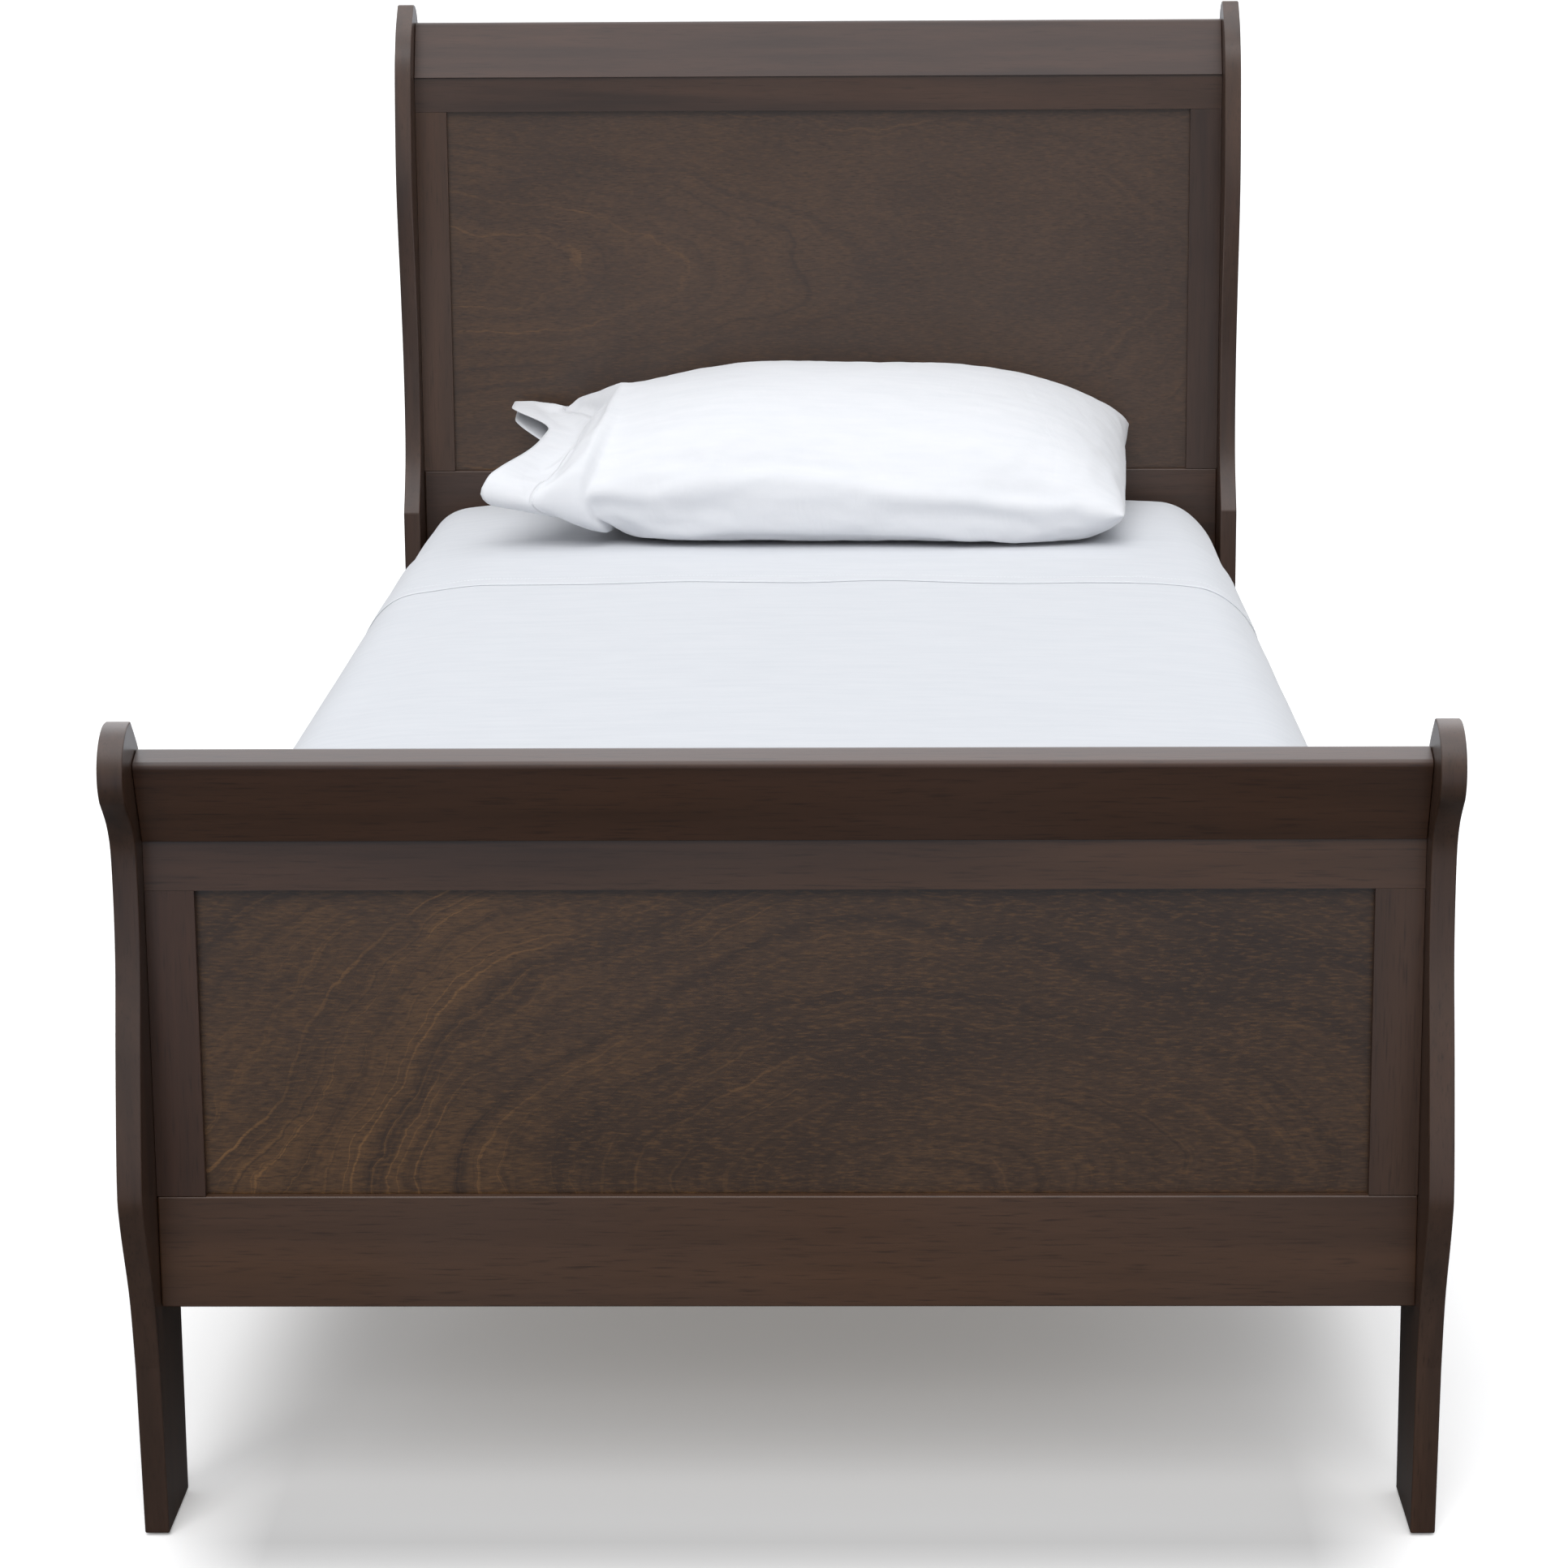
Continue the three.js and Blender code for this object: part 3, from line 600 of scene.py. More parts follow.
def unevenness(place, out):
    """How far a sheet stands off at a place: faint swells on top, upright tucks down the sides."""
    side = RIGHT_SIDE if place.x > 0 else LEFT_SIDE
    on_top, on_side = max(out.z, 0.0), 1.0 - abs(out.z)
    along = place.y if abs(out.x) > abs(out.y) else place.x
    swell = noise.noise(Vector((place.x * 4.1, place.y * 2.6, 1.7))) * 1.5 * MM
    swell += noise.noise(Vector((place.x * 11.0, place.y * 15.0, 5.1))) * 0.5 * MM
    clear_of_pillow = 1.0 - ramp(place.y, 0.42, 0.53)
    crown = 7 * MM * max(0.0, 1 - (place.x / 0.46) ** 2) * ramp(place.y, -0.95, -0.55) * clear_of_pillow
    shoulder = -side["sink"] * ramp(abs(place.x), 0.38, 0.475)
    tucks = noise.noise(Vector((along * 9.0, place.z * 2.2, 9.3))) * 3.0 * MM
    tucks += abs(noise.noise(Vector((along * 23.0, place.z * 4.0, 2.3)))) * 1.6 * MM
    clear_of_posts = ramp(abs(place.y), *side["bulge_ends"]) if abs(out.x) > abs(out.y) else 0.0
    height = math.sin(math.pi * ramp(place.z, 0.34, side["bulge_top"]))
    bulge = side["bulge"] * clear_of_posts * height
    lower = ramp(place.z, 0.535, 0.42) * ramp(place.z, 0.332, 0.352)
    above = swell * (0.25 + 0.75 * clear_of_pillow) + crown + shoulder
    return on_top * above + on_side * (tucks * lower + bulge)


def core_at(point):
    """The nearest place to a point that is at least a roll's radius inside the mattress."""
    return Vector([min(max(c, low + ROLL), high - ROLL) for c, (low, high) in zip(point, MATTRESS)])


def rolled(point):
    """Where a point of the mattress's bounding box lands on its rolled surface, and which way is out."""
    core = core_at(point)
    out = (Vector(point) - core).normalized()
    return core + out * ROLL, out


def on_mattress(point, lift, extra=None):
    """The same point on a sheet: further out by its lift, its unevenness and what extra adds."""
    place, out = rolled(point)
    rise = lift + unevenness(place, out)
    if extra:
        rise += extra(place, out)
    return place + out * rise


def flat_place(point):
    """The same point on the sheet laid out flat, for the weave: metres across and along."""
    (x0, x1), (y0, y1), (z0, z1) = MATTRESS
    x, y, z = point
    drop = z1 - z
    across = x + (drop if x > x1 - 1e-6 else -drop if x < x0 + 1e-6 else 0.0)
    along = y - (drop if y < y0 + 1e-6 else 0.0) + (drop if y > y1 - 1e-6 else 0.0)
    if z < z0 + 1e-6:
        across = x + math.copysign(drop + 2 * (min(x - x0, x1 - x)), x)
    return across, along


def box_skin(xs, ys, zs, keep):
    """Quads over the faces of a box, with the corners on shared grid places; keep picks the quads."""
    corners, quads = {}, []

    def corner(point):
        return corners.setdefault(tuple(round(c, 6) for c in point), len(corners))

    grids = [(0, 1, 2, zs[-1], False), (0, 1, 2, zs[0], True), (1, 2, 0, xs[-1], False)]
    grids += [(1, 2, 0, xs[0], True), (2, 0, 1, ys[-1], False), (2, 0, 1, ys[0], True)]
    lines = (xs, ys, zs)
    for a, b, fixed, level, flip in grids:
        for a0, a1 in zip(lines[a], lines[a][1:]):
            for b0, b1 in zip(lines[b], lines[b][1:]):
                ring = []
                for u, v in ((a0, b0), (a1, b0), (a1, b1), (a0, b1)):
                    point = [0.0, 0.0, 0.0]
                    point[a], point[b], point[fixed] = u, v, level
                    ring.append(tuple(point))
                middle = [sum(p[k] for p in ring) / 4 for k in range(3)]
                if keep(*middle):
                    quad = [corner(p) for p in ring]
                    quads.append(quad[::-1] if flip else quad)
    return list(corners), quads


def cloth_mesh(name, points, flats, quads):
    """A mesh with the flat cloth's own places as its UV map, in metres."""
    mesh = quad_mesh(name, points, quads)
    layer = mesh.uv_layers.new(name="flat_cloth")
    for loop in mesh.loops:
        layer.data[loop.index].uv = flats[loop.vertex_index]
    for polygon in mesh.polygons:
        polygon.use_smooth = True
    return mesh


def finish_cloth(piece):
    subdivide(piece)
    wall = piece.modifiers.new("cloth_thickness", "SOLIDIFY")
    wall.thickness = CLOTH
    wall.offset = 0.0


def within_tuck(x, y):
    """True over the strip of the mattress's underside that the sheets are tucked round to."""
    (x0, x1), (y0, y1), _ = MATTRESS
    return min(x - x0, x1 - x, y - y0, y1 - y) < TUCK


def make_mattress(ticking):
    xs, ys, zs = (places(low, high, 24 * MM) for low, high in MATTRESS)
    points, quads = box_skin(xs, ys, zs, lambda x, y, z: True)

    def quilting(place, out):
        if out.z > -0.9:
            return 0.0
        waves = math.sin(place.x * math.pi / 0.12) * math.sin(place.y * math.pi / 0.12)
        return -1.2 * MM * (1 - min(1.0, abs(waves) * 2.2))

    def plain(point):
        place, out = rolled(point)
        lift = unevenness(place, out) if out.z > -0.5 else 0.0
        return place + out * (lift + quilting(place, out))

    mesh = cloth_mesh("mattress_core", [plain(p) for p in points], [flat_place(p) for p in points], quads)
    piece = show("mattress_core", mesh, ticking, MATTRESS_BODY, ["mattress"])
    subdivide(piece)


def make_fitted_sheet(cotton):
    xs, ys, zs = (places(low, high, 20 * MM) for low, high in MATTRESS)
    floor = zs[0]
    points, quads = box_skin(xs, ys, zs, lambda x, y, z: z > floor + 1e-6 or within_tuck(x, y))

    def gathers(place, out):
        """Elastic gathers round the lower edge, strongest at the four corners."""
        low = ramp(place.z, 0.42, 0.345)
        corner = ramp(min(abs(out.x), abs(out.y)), 0.0, 0.4)
        turn = math.atan2(place.y - math.copysign(0.9, place.y), place.x - math.copysign(0.46, place.x))
        pleats = math.sin(turn * 34.0) * 1.2 * MM * corner
        return low * max(pleats, -0.5 * MM)

    shaped = [on_mattress(p, FITTED_LIFT, gathers) for p in points]
    mesh = cloth_mesh("fitted_sheet_cloth", shaped, [flat_place(p) for p in points], quads)
    piece = show("fitted_sheet_cloth", mesh, cotton, MATTRESS_BODY, ["fitted_sheet"])
    finish_cloth(piece)


def hospital_corner(place, out):
    """The slanting edge of the folded corner on the long sides, near the foot."""
    if abs(out.x) < 0.6:
        return 0.0
    from_foot = place.y - MATTRESS[1][0]
    drop = MATTRESS[2][1] - place.z
    past = from_foot - drop * 1.05
    return 2.2 * MM * ramp(past, -7 * MM, 5 * MM) * ramp(past, 0.24, 0.02)


def cuff_stations():
    """The rows of the part that is turned back, from the fold to the hem: each one's y and lift."""
    depth = FOLD_Y - HEM_Y - FOLD_STEP
    ys = [FOLD_Y, FOLD_Y - FOLD_STEP]
    ys += [FOLD_Y - FOLD_STEP - depth * (k + 1) / CUFF_ROWS for k in range(CUFF_ROWS)]
    return [(FOLD_Y + 1.2 * MM, TOP_LIFT)] + [(y, CUFF_LIFT) for y in ys]


def cuff_place(source, lift):
    """Where a point of the turned-back part lies: flat along its doubled hem, looser above it."""
    x, y, _ = source
    away = ramp(y, HEM_Y, HEM_Y + 0.07)
    hem = 0.3 * MM * ramp(y, HEM_Y + HEM_WIDTH + 3 * MM, HEM_Y + HEM_WIDTH - 3 * MM)
    loose = abs(noise.noise(Vector((x * 7, y * 6, 3.3)))) * 1.4 * MM
    rise = 0.15 * MM + hem + away * (0.4 * MM + loose)
    spot = on_mattress(source, lift, lambda place, out: rise)
    spot.y += noise.noise(Vector((x * 6.0, 0.7, 0.0))) * 22 * MM * ramp(y, FOLD_Y - 0.1, HEM_Y)
    return spot


def turn_back(points, edge, shaped, flats, quads):
    """Carries the sheet on from its edge at the fold, back over itself; gives the rows of its points."""
    rows = [edge]
    stations = cuff_stations()
    travelled = FOLD_Y
    for n, (y, lift) in enumerate(stations):
        # the first two rows go round the fold
        travelled += 3 * MM if n < 2 else abs(stations[n - 1][0] - y)
        rows.append(list(range(len(shaped), len(shaped) + len(edge))))
        for k in edge:
            shaped.append(cuff_place((points[k][0], y, points[k][2]), lift))
            flats.append((flats[k][0], travelled))
    for one, two in zip(rows, rows[1:]):
        for k in range(len(edge) - 1):
            quads.append([one[k], one[k + 1], two[k + 1], two[k]])
    return rows


def make_top_sheet(cotton, thread):
    xs, ys, zs = (places(low, high, 18 * MM) for low, high in MATTRESS)
    ys = [y for y in ys if y < FOLD_Y - 12 * MM] + [FOLD_Y, FOLD_Y + 0.1]
    floor = zs[0]

    def covered(x, y, z):
        return y < FOLD_Y and (z > floor + 1e-6 or within_tuck(x, y))

    def lower(place, out):
        """Just clear of the fitted sheet, and down on it at the fold."""
        return hospital_corner(place, out) + 0.6 * MM - 1.1 * MM * ramp(place.y, FOLD_Y - 0.04, FOLD_Y)

    points, quads = box_skin(xs, ys, zs, covered)
    shaped = [on_mattress(p, TOP_LIFT, lower) for p in points]
    flats = [flat_place(p) for p in points]
    at_fold = (k for k, p in enumerate(points) if abs(p[1] - FOLD_Y) < 1e-6)
    rows = turn_back(points, sorted(at_fold, key=lambda k: flats[k][0]), shaped, flats, quads)
    mesh = cloth_mesh("top_sheet_cloth", shaped, flats, quads)
    piece = show("top_sheet_cloth", mesh, cotton, MATTRESS_BODY, ["top_sheet"])
    finish_cloth(piece)
    path = [shaped[k] for k in rows[-3]]
    outward = [(p - core_at(p)).normalized() for p in path]
    stitches = stitch_row("top_sheet_hem_stitches", path, outward, thread, MATTRESS_BODY)


def add_stitch(shape, middle, ahead, across, up):
    """One short thread that lies along ahead, thinner at its ends."""
    spokes = [(math.cos(a), math.sin(a)) for a in (k * math.pi / 3 for k in range(6))]
    rings = []
    for end, size in ((-0.5, 0.5), (-0.25, 1.0), (0.25, 1.0), (0.5, 0.5)):
        centre = middle + ahead * (end * STITCH_LENGTH)
        sink = up * (-STITCH_RADIUS * (1 - size))
        ring = [centre + sink + (across * c + up * s) * STITCH_RADIUS * size for c, s in spokes]
        rings.append([shape.verts.new(v) for v in ring])
    skin_rings(shape, rings)


def stitch_row(name, path, outward, thread, body):
    """Short threads along a path that lies on cloth, one at each pitch."""

    def build(shape):
        since = 0.0
        for (p, q), up in zip(zip(path, path[1:]), outward):
            step = q - p
            if step.length < 1e-6:
                continue
            ahead = step.normalized()
            across = ahead.cross(up).normalized()
            while since < step.length:
                add_stitch(shape, p + ahead * since + up * (CLOTH / 2), ahead, across, up)
                since += STITCH_PITCH
            since -= step.length
        bmesh.ops.recalc_face_normals(shape, faces=shape.faces)

    return show(name, mesh_from(name, build), thread, body)


# ------------------------------------------------------------------ pillow in its case
CASE_LENGTH = 0.835
CASE_WIDTH = 0.50
CASE_HEM = 65 * MM
CELLS_ALONG, CELLS_ACROSS = 84, 50
CELL = CASE_LENGTH / CELLS_ALONG
PILLOW_FROM = 80 * MM
PILLOW_SIZE = (0.415, 0.205)
PILLOW_VOLUME = 0.0350
PILLOW_RIGHT_END = 0.404
PILLOW_MIDDLE_Y = 0.742
FRONT_SEAM, BACK_SEAM = 45 * MM, 120 * MM
MOUTH_WIDTH = 0.42
MOUTH_GAPE = 24 * MM
EAR_LIFT = 26 * MM
BED_LEVEL = 0.5585
HEADBOARD_FACE_Y = 0.965
PRESS = 12 * MM
SIM_FRAMES = 34


def swelling(along):
    """How full the case is, 0 to 1, at a flat distance from its mouth."""
    from_near = (along - PILLOW_FROM) / 0.25
    from_end = (CASE_LENGTH - along) / 0.25
    if from_near <= 0 or from_end <= 0:
        return 0.0
    quarter = math.pi / 2
    return math.sin(min(1.0, from_near) * quarter) ** 0.9 * math.sin(min(1.0, from_end) * quarter) ** 0.7


def upper_section(swell, count, power=2.6):
    """Evenly spaced points (y, z) over the top half of the case's section, front seam to back."""
    width = (CASE_WIDTH * (1 - swell) + PILLOW_SIZE[0] * swell) / 2
    height = PILLOW_SIZE[1] / 2 * swell + 0.1 * MM
    curve = []
    for k in range(61):
        turn = math.pi * k / 60
        y = -math.copysign(abs(math.cos(turn)) ** (2 / power), math.cos(turn)) * width
        curve.append((y, abs(math.sin(turn)) ** (2 / power) * height))
    lengths = [0.0]
    for p, q in zip(curve, curve[1:]):
        lengths.append(lengths[-1] + math.dist(p, q))
    points, k = [], 0
    for n in range(count + 1):
        goal = lengths[-1] * n / count
        while k < 59 and lengths[k + 1] < goal:
            k += 1
        part = min(1.0, (goal - lengths[k]) / max(lengths[k + 1] - lengths[k], 1e-9))
        points.append(tuple(a + (b - a) * part for a, b in zip(curve[k], curve[k + 1])))
    return points


def case_row(along):
    """The case at a flat distance from its mouth, from the front seam to the back one: each place's
    y, the height of its middle, and how far the two layers stand off that middle."""
    swell = swelling(along)
    section = upper_section(swell, CELLS_ACROSS)
    widest = max(abs(section[0][0]), abs(section[-1][0]))
    narrow = MOUTH_WIDTH / CASE_WIDTH if swell < 0.01 else min(1.0, PILLOW_SIZE[0] / 2 / widest)
    empty = max(0.0, 1 - along / (PILLOW_FROM + 50 * MM))
    row = []
    for j, (y, apart) in enumerate(section):
        y *= narrow
        back = max(0.0, y / PILLOW_SIZE[0] + 0.5)
        level = FRONT_SEAM + (BACK_SEAM - FRONT_SEAM) * back
        if empty > 0:
            lens = math.sqrt(max(0.0, 1 - (2 * back - 1) ** 8))
            gape = 3 * MM + MOUTH_GAPE * (1 - min(1.0, back)) ** 0.8 * lens
            apart = 0.0 if j in (0, CELLS_ACROSS) else apart + gape
            level += EAR_LIFT * empty * (1 - back)
        row.append((y, level, apart))
    return row


def layer_quads(number, first=0):
    """Quads over both layers of numbered points, all facing outwards, from a first row on."""
    quads = []
    for layer in (0, 1):
        for i in range(first, CELLS_ALONG):
            for j in range(CELLS_ACROSS):
                places = ((i, j), (i + 1, j), (i + 1, j + 1), (i, j + 1))
                ring = [number[layer, a, b] for a, b in places]
                quads.append(ring if layer == 0 else ring[::-1])
    return quads


def sew_case():
    """The case cut flat and sewn on three sides, and the same cloth slipped round a full pillow."""
    number, full, flat = {}, [], []
    for i in range(CELLS_ALONG + 1):
        along = CELL * i
        for j, (y, level, apart) in enumerate(case_row(along)):
            seam = j in (0, CELLS_ACROSS) or i == CELLS_ALONG
            for layer, sign in ((0, 1), (1, -1)):
                if seam and layer == 1:
                    number[1, i, j] = number[0, i, j]
                    continue
                number[layer, i, j] = len(full)
                height = max(BED_LEVEL + 3 * MM, BED_LEVEL + level + sign * apart)
                full.append(Vector((0.0, PILLOW_MIDDLE_Y + y, height)))
                flat.append(Vector((along, CASE_WIDTH * (j / CELLS_ACROSS - 0.5), BED_LEVEL + 0.1)))
    for layer in (0, 1):
        for j in range(CELLS_ACROSS + 1):
            if layer == 0 or j not in (0, CELLS_ACROSS):
                pull_on(full, [number[layer, i, j] for i in range(CELLS_ALONG, -1, -1)])
    blunt_rear_ear(number, full)
    return number, full, flat, layer_quads(number)


def pull_on(full, column):
    """Places a column of cells along the case from its closed end, each its own length further on."""
    back = full[column[0]].y - PILLOW_MIDDLE_Y
    end = PILLOW_RIGHT_END + 0.09 * back
    # the front columns cover a little less than their flat length, the back ones a little more
    reach = 0.970 + 0.075 * back + 0.035 * ramp(back, 0.02, 0.14)
    x = end
    full[column[0]].x = end
    for past, here in zip(column, column[1:]):
        rise = (full[here].y - full[past].y) ** 2 + (full[here].z - full[past].z) ** 2
        x -= math.sqrt(max(CELL**2 - rise, (0.3 * CELL) ** 2))
        full[here].x = end + (x - end) * reach


def blunt_rear_ear(number, full, squared_rows=24, lapped_rows=8):
    """Squares off the mouth's rear corner and draws its upper edge over its lower one."""
    square_from = round(CELLS_ACROSS * 0.84)
    for layer in (0, 1):
        limit = full[number[layer, 0, square_from]].x
        for j in range(square_from + 1, CELLS_ACROSS + 1):
            if layer == 0 or j < CELLS_ACROSS:
                excess = max(0.0, limit - 4 * MM - full[number[layer, 0, j]].x)
                for i in range(squared_rows):
                    full[number[layer, i, j]].x += excess * (1 - i / squared_rows)
    for j in range(CELLS_ACROSS // 2, CELLS_ACROSS):
        short = full[number[0, 0, j]].x - full[number[1, 0, j]].x + 4 * MM
        share = ramp(j / CELLS_ACROSS, 0.5, 0.7)
        for i in range(lapped_rows):
            full[number[0, i, j]].x -= max(0.0, short) * share * (1 - i / lapped_rows)


def barrier(name, corners):
    """A flat thing that the cloth can't pass from its front, for the simulation only."""
    wall = add_object(name, quad_mesh(name, corners, [(0, 1, 2, 3)]))
    wall.modifiers.new("collision", "COLLISION")
    wall.collision.thickness_outer = 2 * MM
    wall.collision.cloth_friction = 5
    return wall


def weigh(piece, name, weights):
    group = piece.vertex_groups.new(name=name)
    for k, weight in weights.items():
        group.add([k], weight, "REPLACE")


CASE_CLOTH = {
    "quality": 7, "mass": 0.2, "air_damping": 2.0,
    "tension_stiffness": 25, "compression_stiffness": 25, "shear_stiffness": 10,
    "bending_stiffness": 1.5, "vertex_group_bending": "hem", "bending_stiffness_max": 3,
    "tension_damping": 10, "compression_damping": 10, "shear_damping": 10, "bending_damping": 2,
    "vertex_group_mass": "mouth", "pin_stiffness": 1.0,
    "use_pressure": True, "use_pressure_volume": True, "target_volume": PILLOW_VOLUME,
    "pressure_factor": 30, "uniform_pressure_force": 0.25, "vertex_group_pressure": "filled",
}


def trial_case(number, full, flat, quads):
    """The case for the simulation, with its flat cut as the shape that its cloth pulls back to."""
    trial = add_object("case_trial", quad_mesh("case_trial", full, quads))
    trial.shape_key_add(name="Basis")
    cut = trial.shape_key_add(name="flat")
    for point, place in zip(cut.data, flat):
        point.co = place
    fullness = [(place.x - PILLOW_FROM + 30 * MM) / (50 * MM) for place in flat]
    weigh(trial, "filled", {k: min(1.0, max(0.0, part)) for k, part in enumerate(fullness)})
    weigh(trial, "hem", {k: float(place.x < CASE_HEM) for k, place in enumerate(flat)})
    weigh(trial, "mouth", {k: 1.0 for (_, i, _), k in number.items() if i < 2})
    return trial, cut


def settle_case(number, full, flat, quads):
    """Lets the case fill out, pucker and sag, by cloth simulation; gives its settled points."""
    scene = bpy.context.scene
    trial, cut = trial_case(number, full, flat, quads)
    bed = [(-1, -1, BED_LEVEL), (1, -1, BED_LEVEL), (1, 1.2, BED_LEVEL), (-1, 1.2, BED_LEVEL)]
    y = HEADBOARD_FACE_Y
    head = [(1, y, 0), (1, y, 2), (-1, y, 2), (-1, y, 0)]
    walls = [barrier("bed_barrier", bed), barrier("head_barrier", head)]
    cloth = trial.modifiers.new("cloth", "CLOTH")
    cloth.point_cache.frame_start = 1
    cloth.point_cache.frame_end = SIM_FRAMES
    for key, value in CASE_CLOTH.items():
        setattr(cloth.settings, key, value)
    cloth.settings.rest_shape_key = cut
    cloth.settings.effector_weights.gravity = 0.1
    touch = cloth.collision_settings
    touch.use_collision = touch.use_self_collision = True
    touch.distance_min = 2 * MM
    touch.self_distance_min = 3 * MM
    for moment in range(1, SIM_FRAMES + 1):
        scene.frame_set(moment)
    settled = trial.evaluated_get(bpy.context.evaluated_depsgraph_get()).data
    points = [v.co.copy() for v in settled.vertices]
    for point in points:
        # what would press into the headboard is flattened against it
        pressed = max(0.0, point.y - (HEADBOARD_FACE_Y - PRESS))
        point.y -= pressed - PRESS * (1 - math.exp(-pressed / PRESS))
    scene.frame_set(1)
    for helper in [trial, *walls]:
        bpy.data.objects.remove(helper)
    return points


def make_pillow(cotton, ticking, thread):
    number, full, flat, quads = sew_case()
    points = settle_case(number, full, flat, quads)
    normals = cloth_normals(points, quads)
    worn = []
    for point, normal, place in zip(points, normals, flat):
        double = ramp(place.x, CASE_HEM + 4 * MM, CASE_HEM - 4 * MM)
        worn.append(point + normal * 0.5 * MM * double)
    mesh = cloth_mesh("pillowcase_cloth", worn, [(f.x, f.y) for f in flat], quads)
    case = show("pillowcase_cloth", mesh, cotton, PILLOW_BODY, ["pillowcase"])
    finish_cloth(case)

    row = round(CASE_HEM / CELL)
    ring = [number[0, row, j] for j in range(CELLS_ACROSS + 1)]
    ring += [number[1, row, j] for j in range(CELLS_ACROSS - 1, -1, -1)]
    path, outward = [worn[k] for k in ring], [normals[k] for k in ring]
    stitches = stitch_row("pillowcase_hem_stitches", path, outward, thread, PILLOW_BODY)
    make_filling(number, points, ticking)


def make_filling(number, points, ticking):
    """The pillow itself: the settled case drawn in on every side, and closed short of its mouth."""
    first = round((PILLOW_FROM + 20 * MM) / CELL)
    shrunk, numbered = [], {}
    middle = sum((points[number[0, i, CELLS_ACROSS // 2]] for i in (first, CELLS_ALONG)), Vector()) / 2
    for i in range(first, CELLS_ALONG + 1):
        closing = min(1.0, (i - first) / 7) ** 0.5
        for j in range(CELLS_ACROSS + 1):
            top, under = points[number[0, i, j]], points[number[1, i, j]]
            between = (top + under) / 2
            seam = i in (first, CELLS_ALONG) or j in (0, CELLS_ACROSS)
            for layer, side in ((0, top), (1, under)):
                if seam and layer == 1:
                    numbered[1, i, j] = numbered[0, i, j]
                    continue
                half = side - between
                keep = max(0.0, 1 - 6 * MM / half.length) * closing if half.length > 1e-6 else 0.0
                spot = between + half * (0.0 if seam else keep)
                spot.x += (middle.x - spot.x) * 0.03
                spot.y += (PILLOW_MIDDLE_Y - spot.y) * 0.05
                numbered[layer, i, j] = len(shrunk)
                shrunk.append(spot)
    flats = [(p.x, p.y) for p in shrunk]
    mesh = cloth_mesh("pillow_filling", shrunk, flats, layer_quads(numbered, first))
    filling = show("pillow_filling", mesh, ticking, PILLOW_BODY, ["pillow"])
    subdivide(filling)


def cloth_normals(points, quads):
    """The outward normal at each point of a mesh."""
    mesh = quad_mesh("measure", points, quads)
    normals = [v.normal.copy() for v in mesh.vertices]
    bpy.data.meshes.remove(mesh)
    return normals


def make_bedding():
    cotton = woven_cloth("white_cotton", rgb(215, 217, 221), rgb(207, 210, 215))
    case_white, case_shade = rgb(224, 225, 228), rgb(216, 218, 222)
    case_cotton = woven_cloth("white_case_cotton", case_white, case_shade, crease=1.5 * MM, hem_at=CASE_HEM)
    ticking = woven_cloth("mattress_ticking", rgb(222, 220, 214), rgb(204, 203, 199), 1400.0)
    thread = woven_cloth("white_thread", rgb(236, 237, 240), rgb(222, 224, 229), 3000.0)
    make_mattress(ticking)
    make_fitted_sheet(cotton)
    make_top_sheet(cotton, thread)
    make_pillow(case_cotton, ticking, thread)


# ------------------------------------------------------------------ stage
# the painted shadow on the floor: how dark it is, where it deepens and fades going out past the footboard,
# and where it ends at the sides
SHADOW_DEPTH = 0.50
SHADOW_DEEPENS = (0.70, 1.03)
SHADOW_FADES = (1.00, 1.15)
SHADOW_SIDES = (0.44, 0.54)
FLOOR_REACH = 30.0


def make_stage():
    """A floor that is white to look at, and darker in what it throws back on the bed. A soft shadow is
    painted on it between the posts, under the footboard and a little way out in front of it; in reflections
    it is painted darker near the bed."""
    shader = Shader("pale_floor")
    drift = shader.noise((0.8, 0.8, 0.8), 2.0)
    white = shader.mix(drift, (0.93, 0.925, 0.92, 1), (0.96, 0.955, 0.95, 1))
    rays = shader.node("ShaderNodeLightPath")
    seen = rays.outputs["Is Camera Ray"]
    where = shader.axes("Object")
    # painted shadow: colour and glow darkened between the posts, from under the foot of the bed to a little
    # in front of the footboard
    toward_front = shader.times(where[1], -1.0)
    under = shader.spread(toward_front, *SHADOW_DEEPENS, 0.0, SHADOW_DEPTH)
    before = shader.spread(toward_front, *SHADOW_FADES, 0.0, SHADOW_DEPTH)
    between_posts = shader.spread(shader.math("ABSOLUTE", where[0]), *SHADOW_SIDES, 1.0, 0.0)
    shade = shader.times(shader.math("SUBTRACT", under, before), between_posts)
    white = shader.mix(shade, white, (0.0, 0.0, 0.0, 1))
    # in reflections the floor is darker near the bed and brighter further out: a painted shadow
    far = shader.spread(shader.math("ABSOLUTE", where[1]), 1.6, 2.6)
    mirrored = shader.mix(far, (0.12, 0.12, 0.12, 1), (0.36, 0.39, 0.44, 1))
    unseen = shader.mix(rays.outputs["Is Glossy Ray"], (0.30, 0.29, 0.28, 1), mirrored)
    shader.set(Base_Color=shader.mix(seen, unseen, white), Roughness=0.9)
    shader.set(Specular_IOR_Level=0.1, Emission_Color=(1.0, 0.99, 0.98, 1.0))
    glow = shader.times(shader.math("SUBTRACT", 1.0, shade), FLOOR_GLOW)
    shader.set(Emission_Strength=shader.times(seen, glow))
    turns = ((-1, -1), (1, -1), (1, 1), (-1, 1))
    corners = [(x * FLOOR_REACH, y * FLOOR_REACH, 0.0) for x, y in turns]
    floor = add_object("floor", quad_mesh("floor", corners, [(0, 1, 2, 3)]))
    floor.data.materials.append(shader.material)


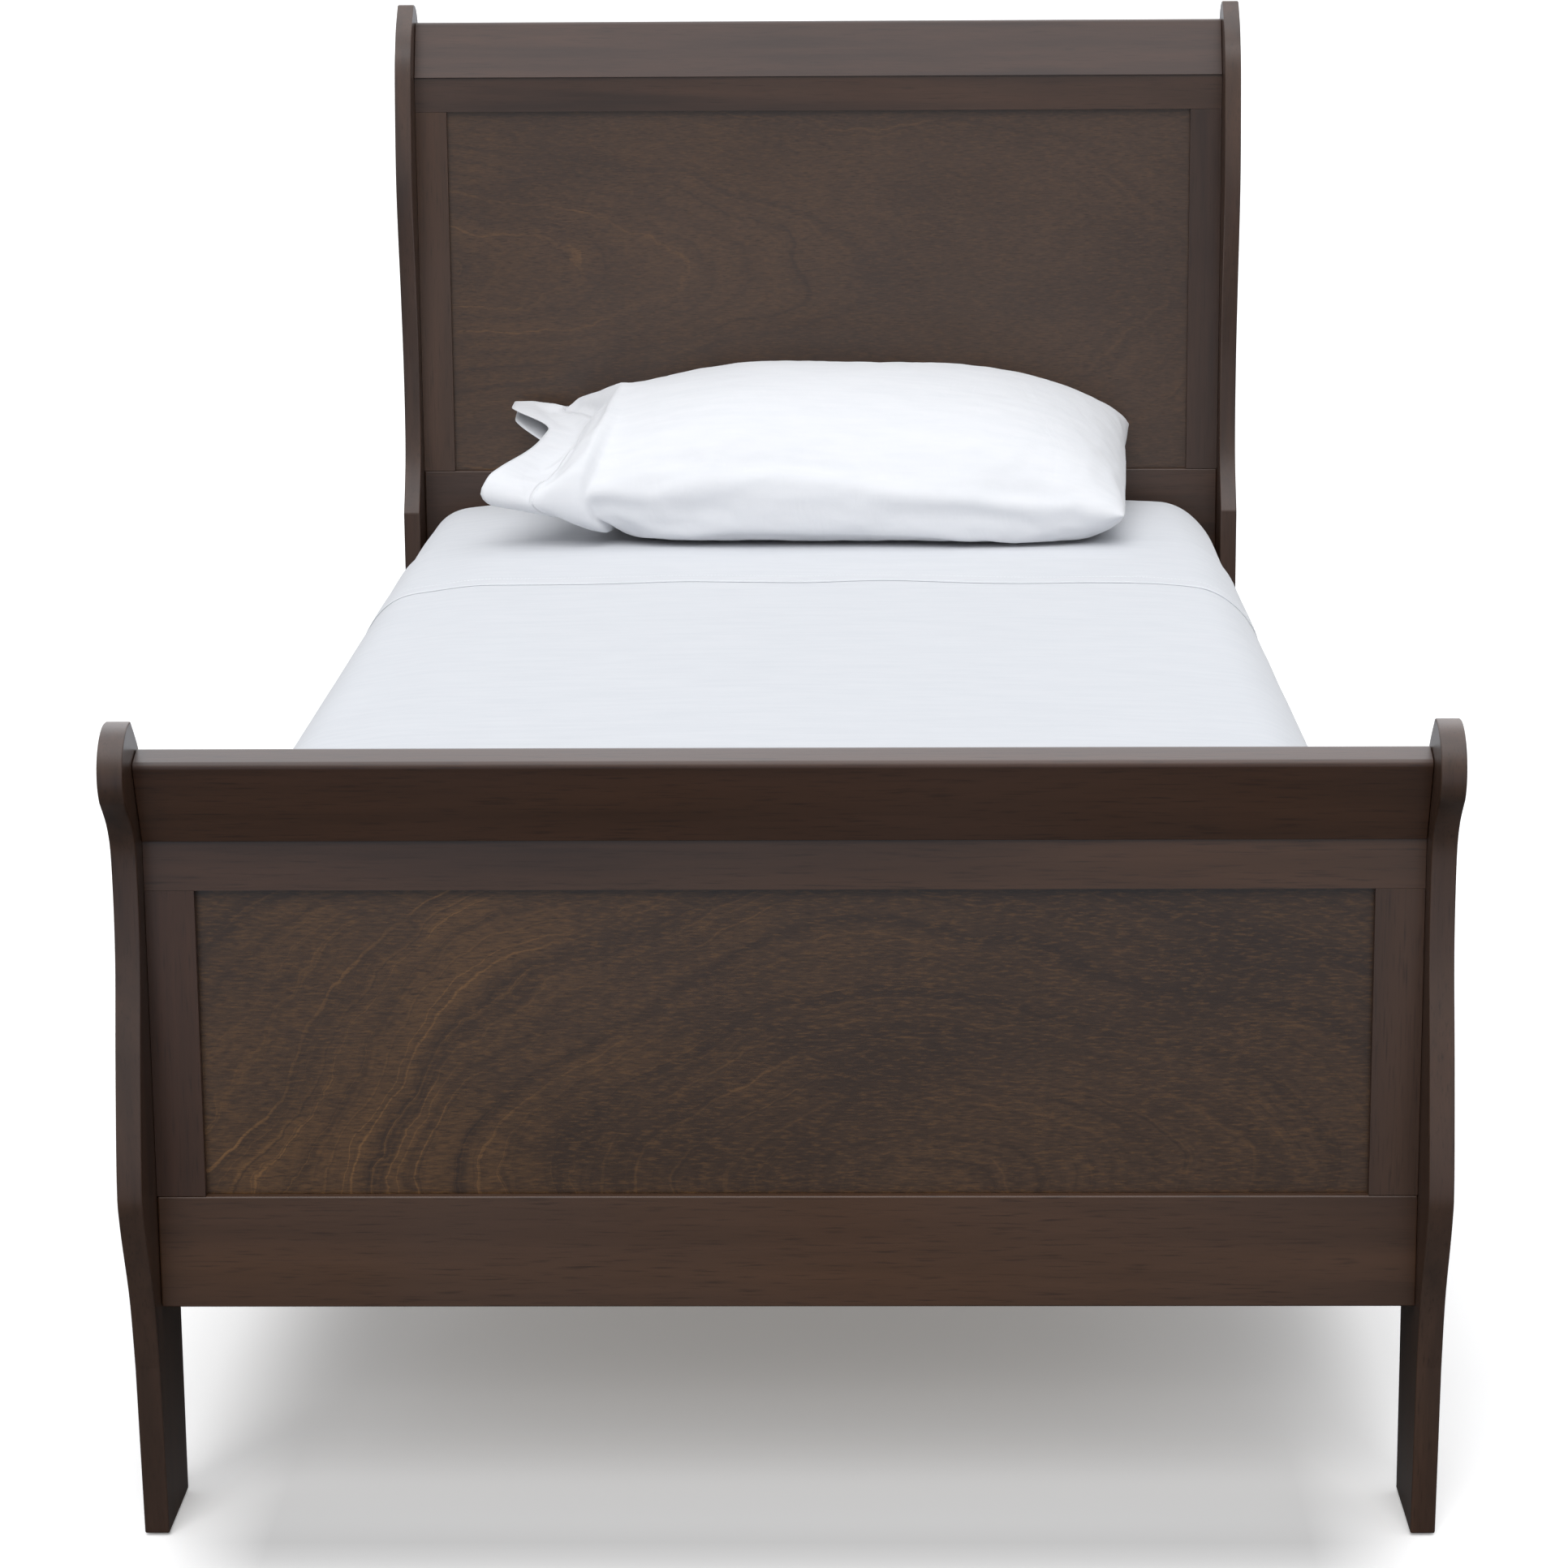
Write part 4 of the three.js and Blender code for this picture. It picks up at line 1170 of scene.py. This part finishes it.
def add_key(name, elevation, azimuth, softness, strength):
    """A broad soft light from far off, not itself mirrored in the lacquer: azimuth 0 is straight in
    front of the footboard."""
    light = bpy.data.lights.new(name, "SUN")
    light.angle = math.radians(softness)
    light.energy = strength
    lamp = add_object(name, light)
    up, round_z = math.radians(elevation), math.radians(azimuth)
    toward = Vector((math.sin(round_z) * math.cos(up), -math.cos(round_z) * math.cos(up), math.sin(up)))
    lamp.rotation_euler = toward.to_track_quat("Z", "Y").to_euler()
    lamp.visible_glossy = False


def make_lights():
    """A pale studio dome that is dimmer towards the horizon, a broad key high in front and one
    overhead. What the lacquer mirrors is the dome alone, brighter the higher it is and brighter low
    down behind the headboard, where a studio has its white backdrop."""
    world = bpy.data.worlds.new("white_studio")
    world.use_nodes = True
    bpy.context.scene.world = world
    sky = Nodes(world.node_tree)
    toward = sky.axes("Generated")
    values = {0: toward["Z"], 1: 0.10, 2: 0.85}
    height = sky.node("ShaderNodeMapRange", values, interpolation_type="SMOOTHSTEP").outputs[0]
    gleam = sky.spread(toward["Z"], 0.40, 0.85, 1.0, 2.1)
    backdrop_low = sky.spread(toward["Y"], 0.2, 0.8, 0.0, 2.0)
    rays = sky.node("ShaderNodeLightPath").outputs
    values = {0: sky.math("ADD", gleam, backdrop_low), 1: rays["Is Glossy Ray"], 2: 1.0}
    mirrored = sky.node("ShaderNodeMath", values, operation="MULTIPLY_ADD").outputs[0]
    values = {"Color": sky.mix(height, DOME_LOW, DOME_HIGH), "Strength": mirrored}
    dome = sky.node("ShaderNodeBackground", values)
    backdrop = sky.tree.nodes["Background"]
    sky.feed(backdrop.inputs["Color"], (1.0, 1.0, 1.0, 1.0))
    sky.feed(backdrop.inputs["Strength"], 1.05)
    values = {0: rays["Is Camera Ray"], 1: dome.outputs[0], 2: backdrop.outputs[0]}
    choose = sky.node("ShaderNodeMixShader", values)
    sky.feed(sky.tree.nodes["World Output"].inputs["Surface"], choose.outputs[0])
    add_key("front_key", 45, -8, 40, 1.75)
    add_key("overhead_key", 78, 20, 60, 0.75)


def make_camera():
    """From beyond the foot of the bed, higher than it and tilted down, with some lens shift."""
    data = bpy.data.cameras.new("camera")
    data.sensor_width = 36.0
    data.lens = 86.7
    data.shift_x = -0.0324
    data.shift_y = -0.14
    data.clip_end = 100.0
    camera = add_object("camera", data)
    pitch, yaw, roll = 0.1933, 0.0127, -0.0055
    turn = Matrix.Rotation(yaw, 4, "Z") @ Matrix.Rotation(math.pi / 2 - pitch, 4, "X")
    turn = turn @ Matrix.Rotation(roll, 4, "Z")
    camera.matrix_world = Matrix.Translation((0.0815, -3.9723, 1.4236)) @ turn
    bpy.context.scene.camera = camera
    bpy.context.scene.view_settings.view_transform = "Standard"


make_camera()
make_stage()
make_lights()
make_posts()
make_crowns()
make_flat_pieces()
make_base()
finish_hardware()
make_bedding()
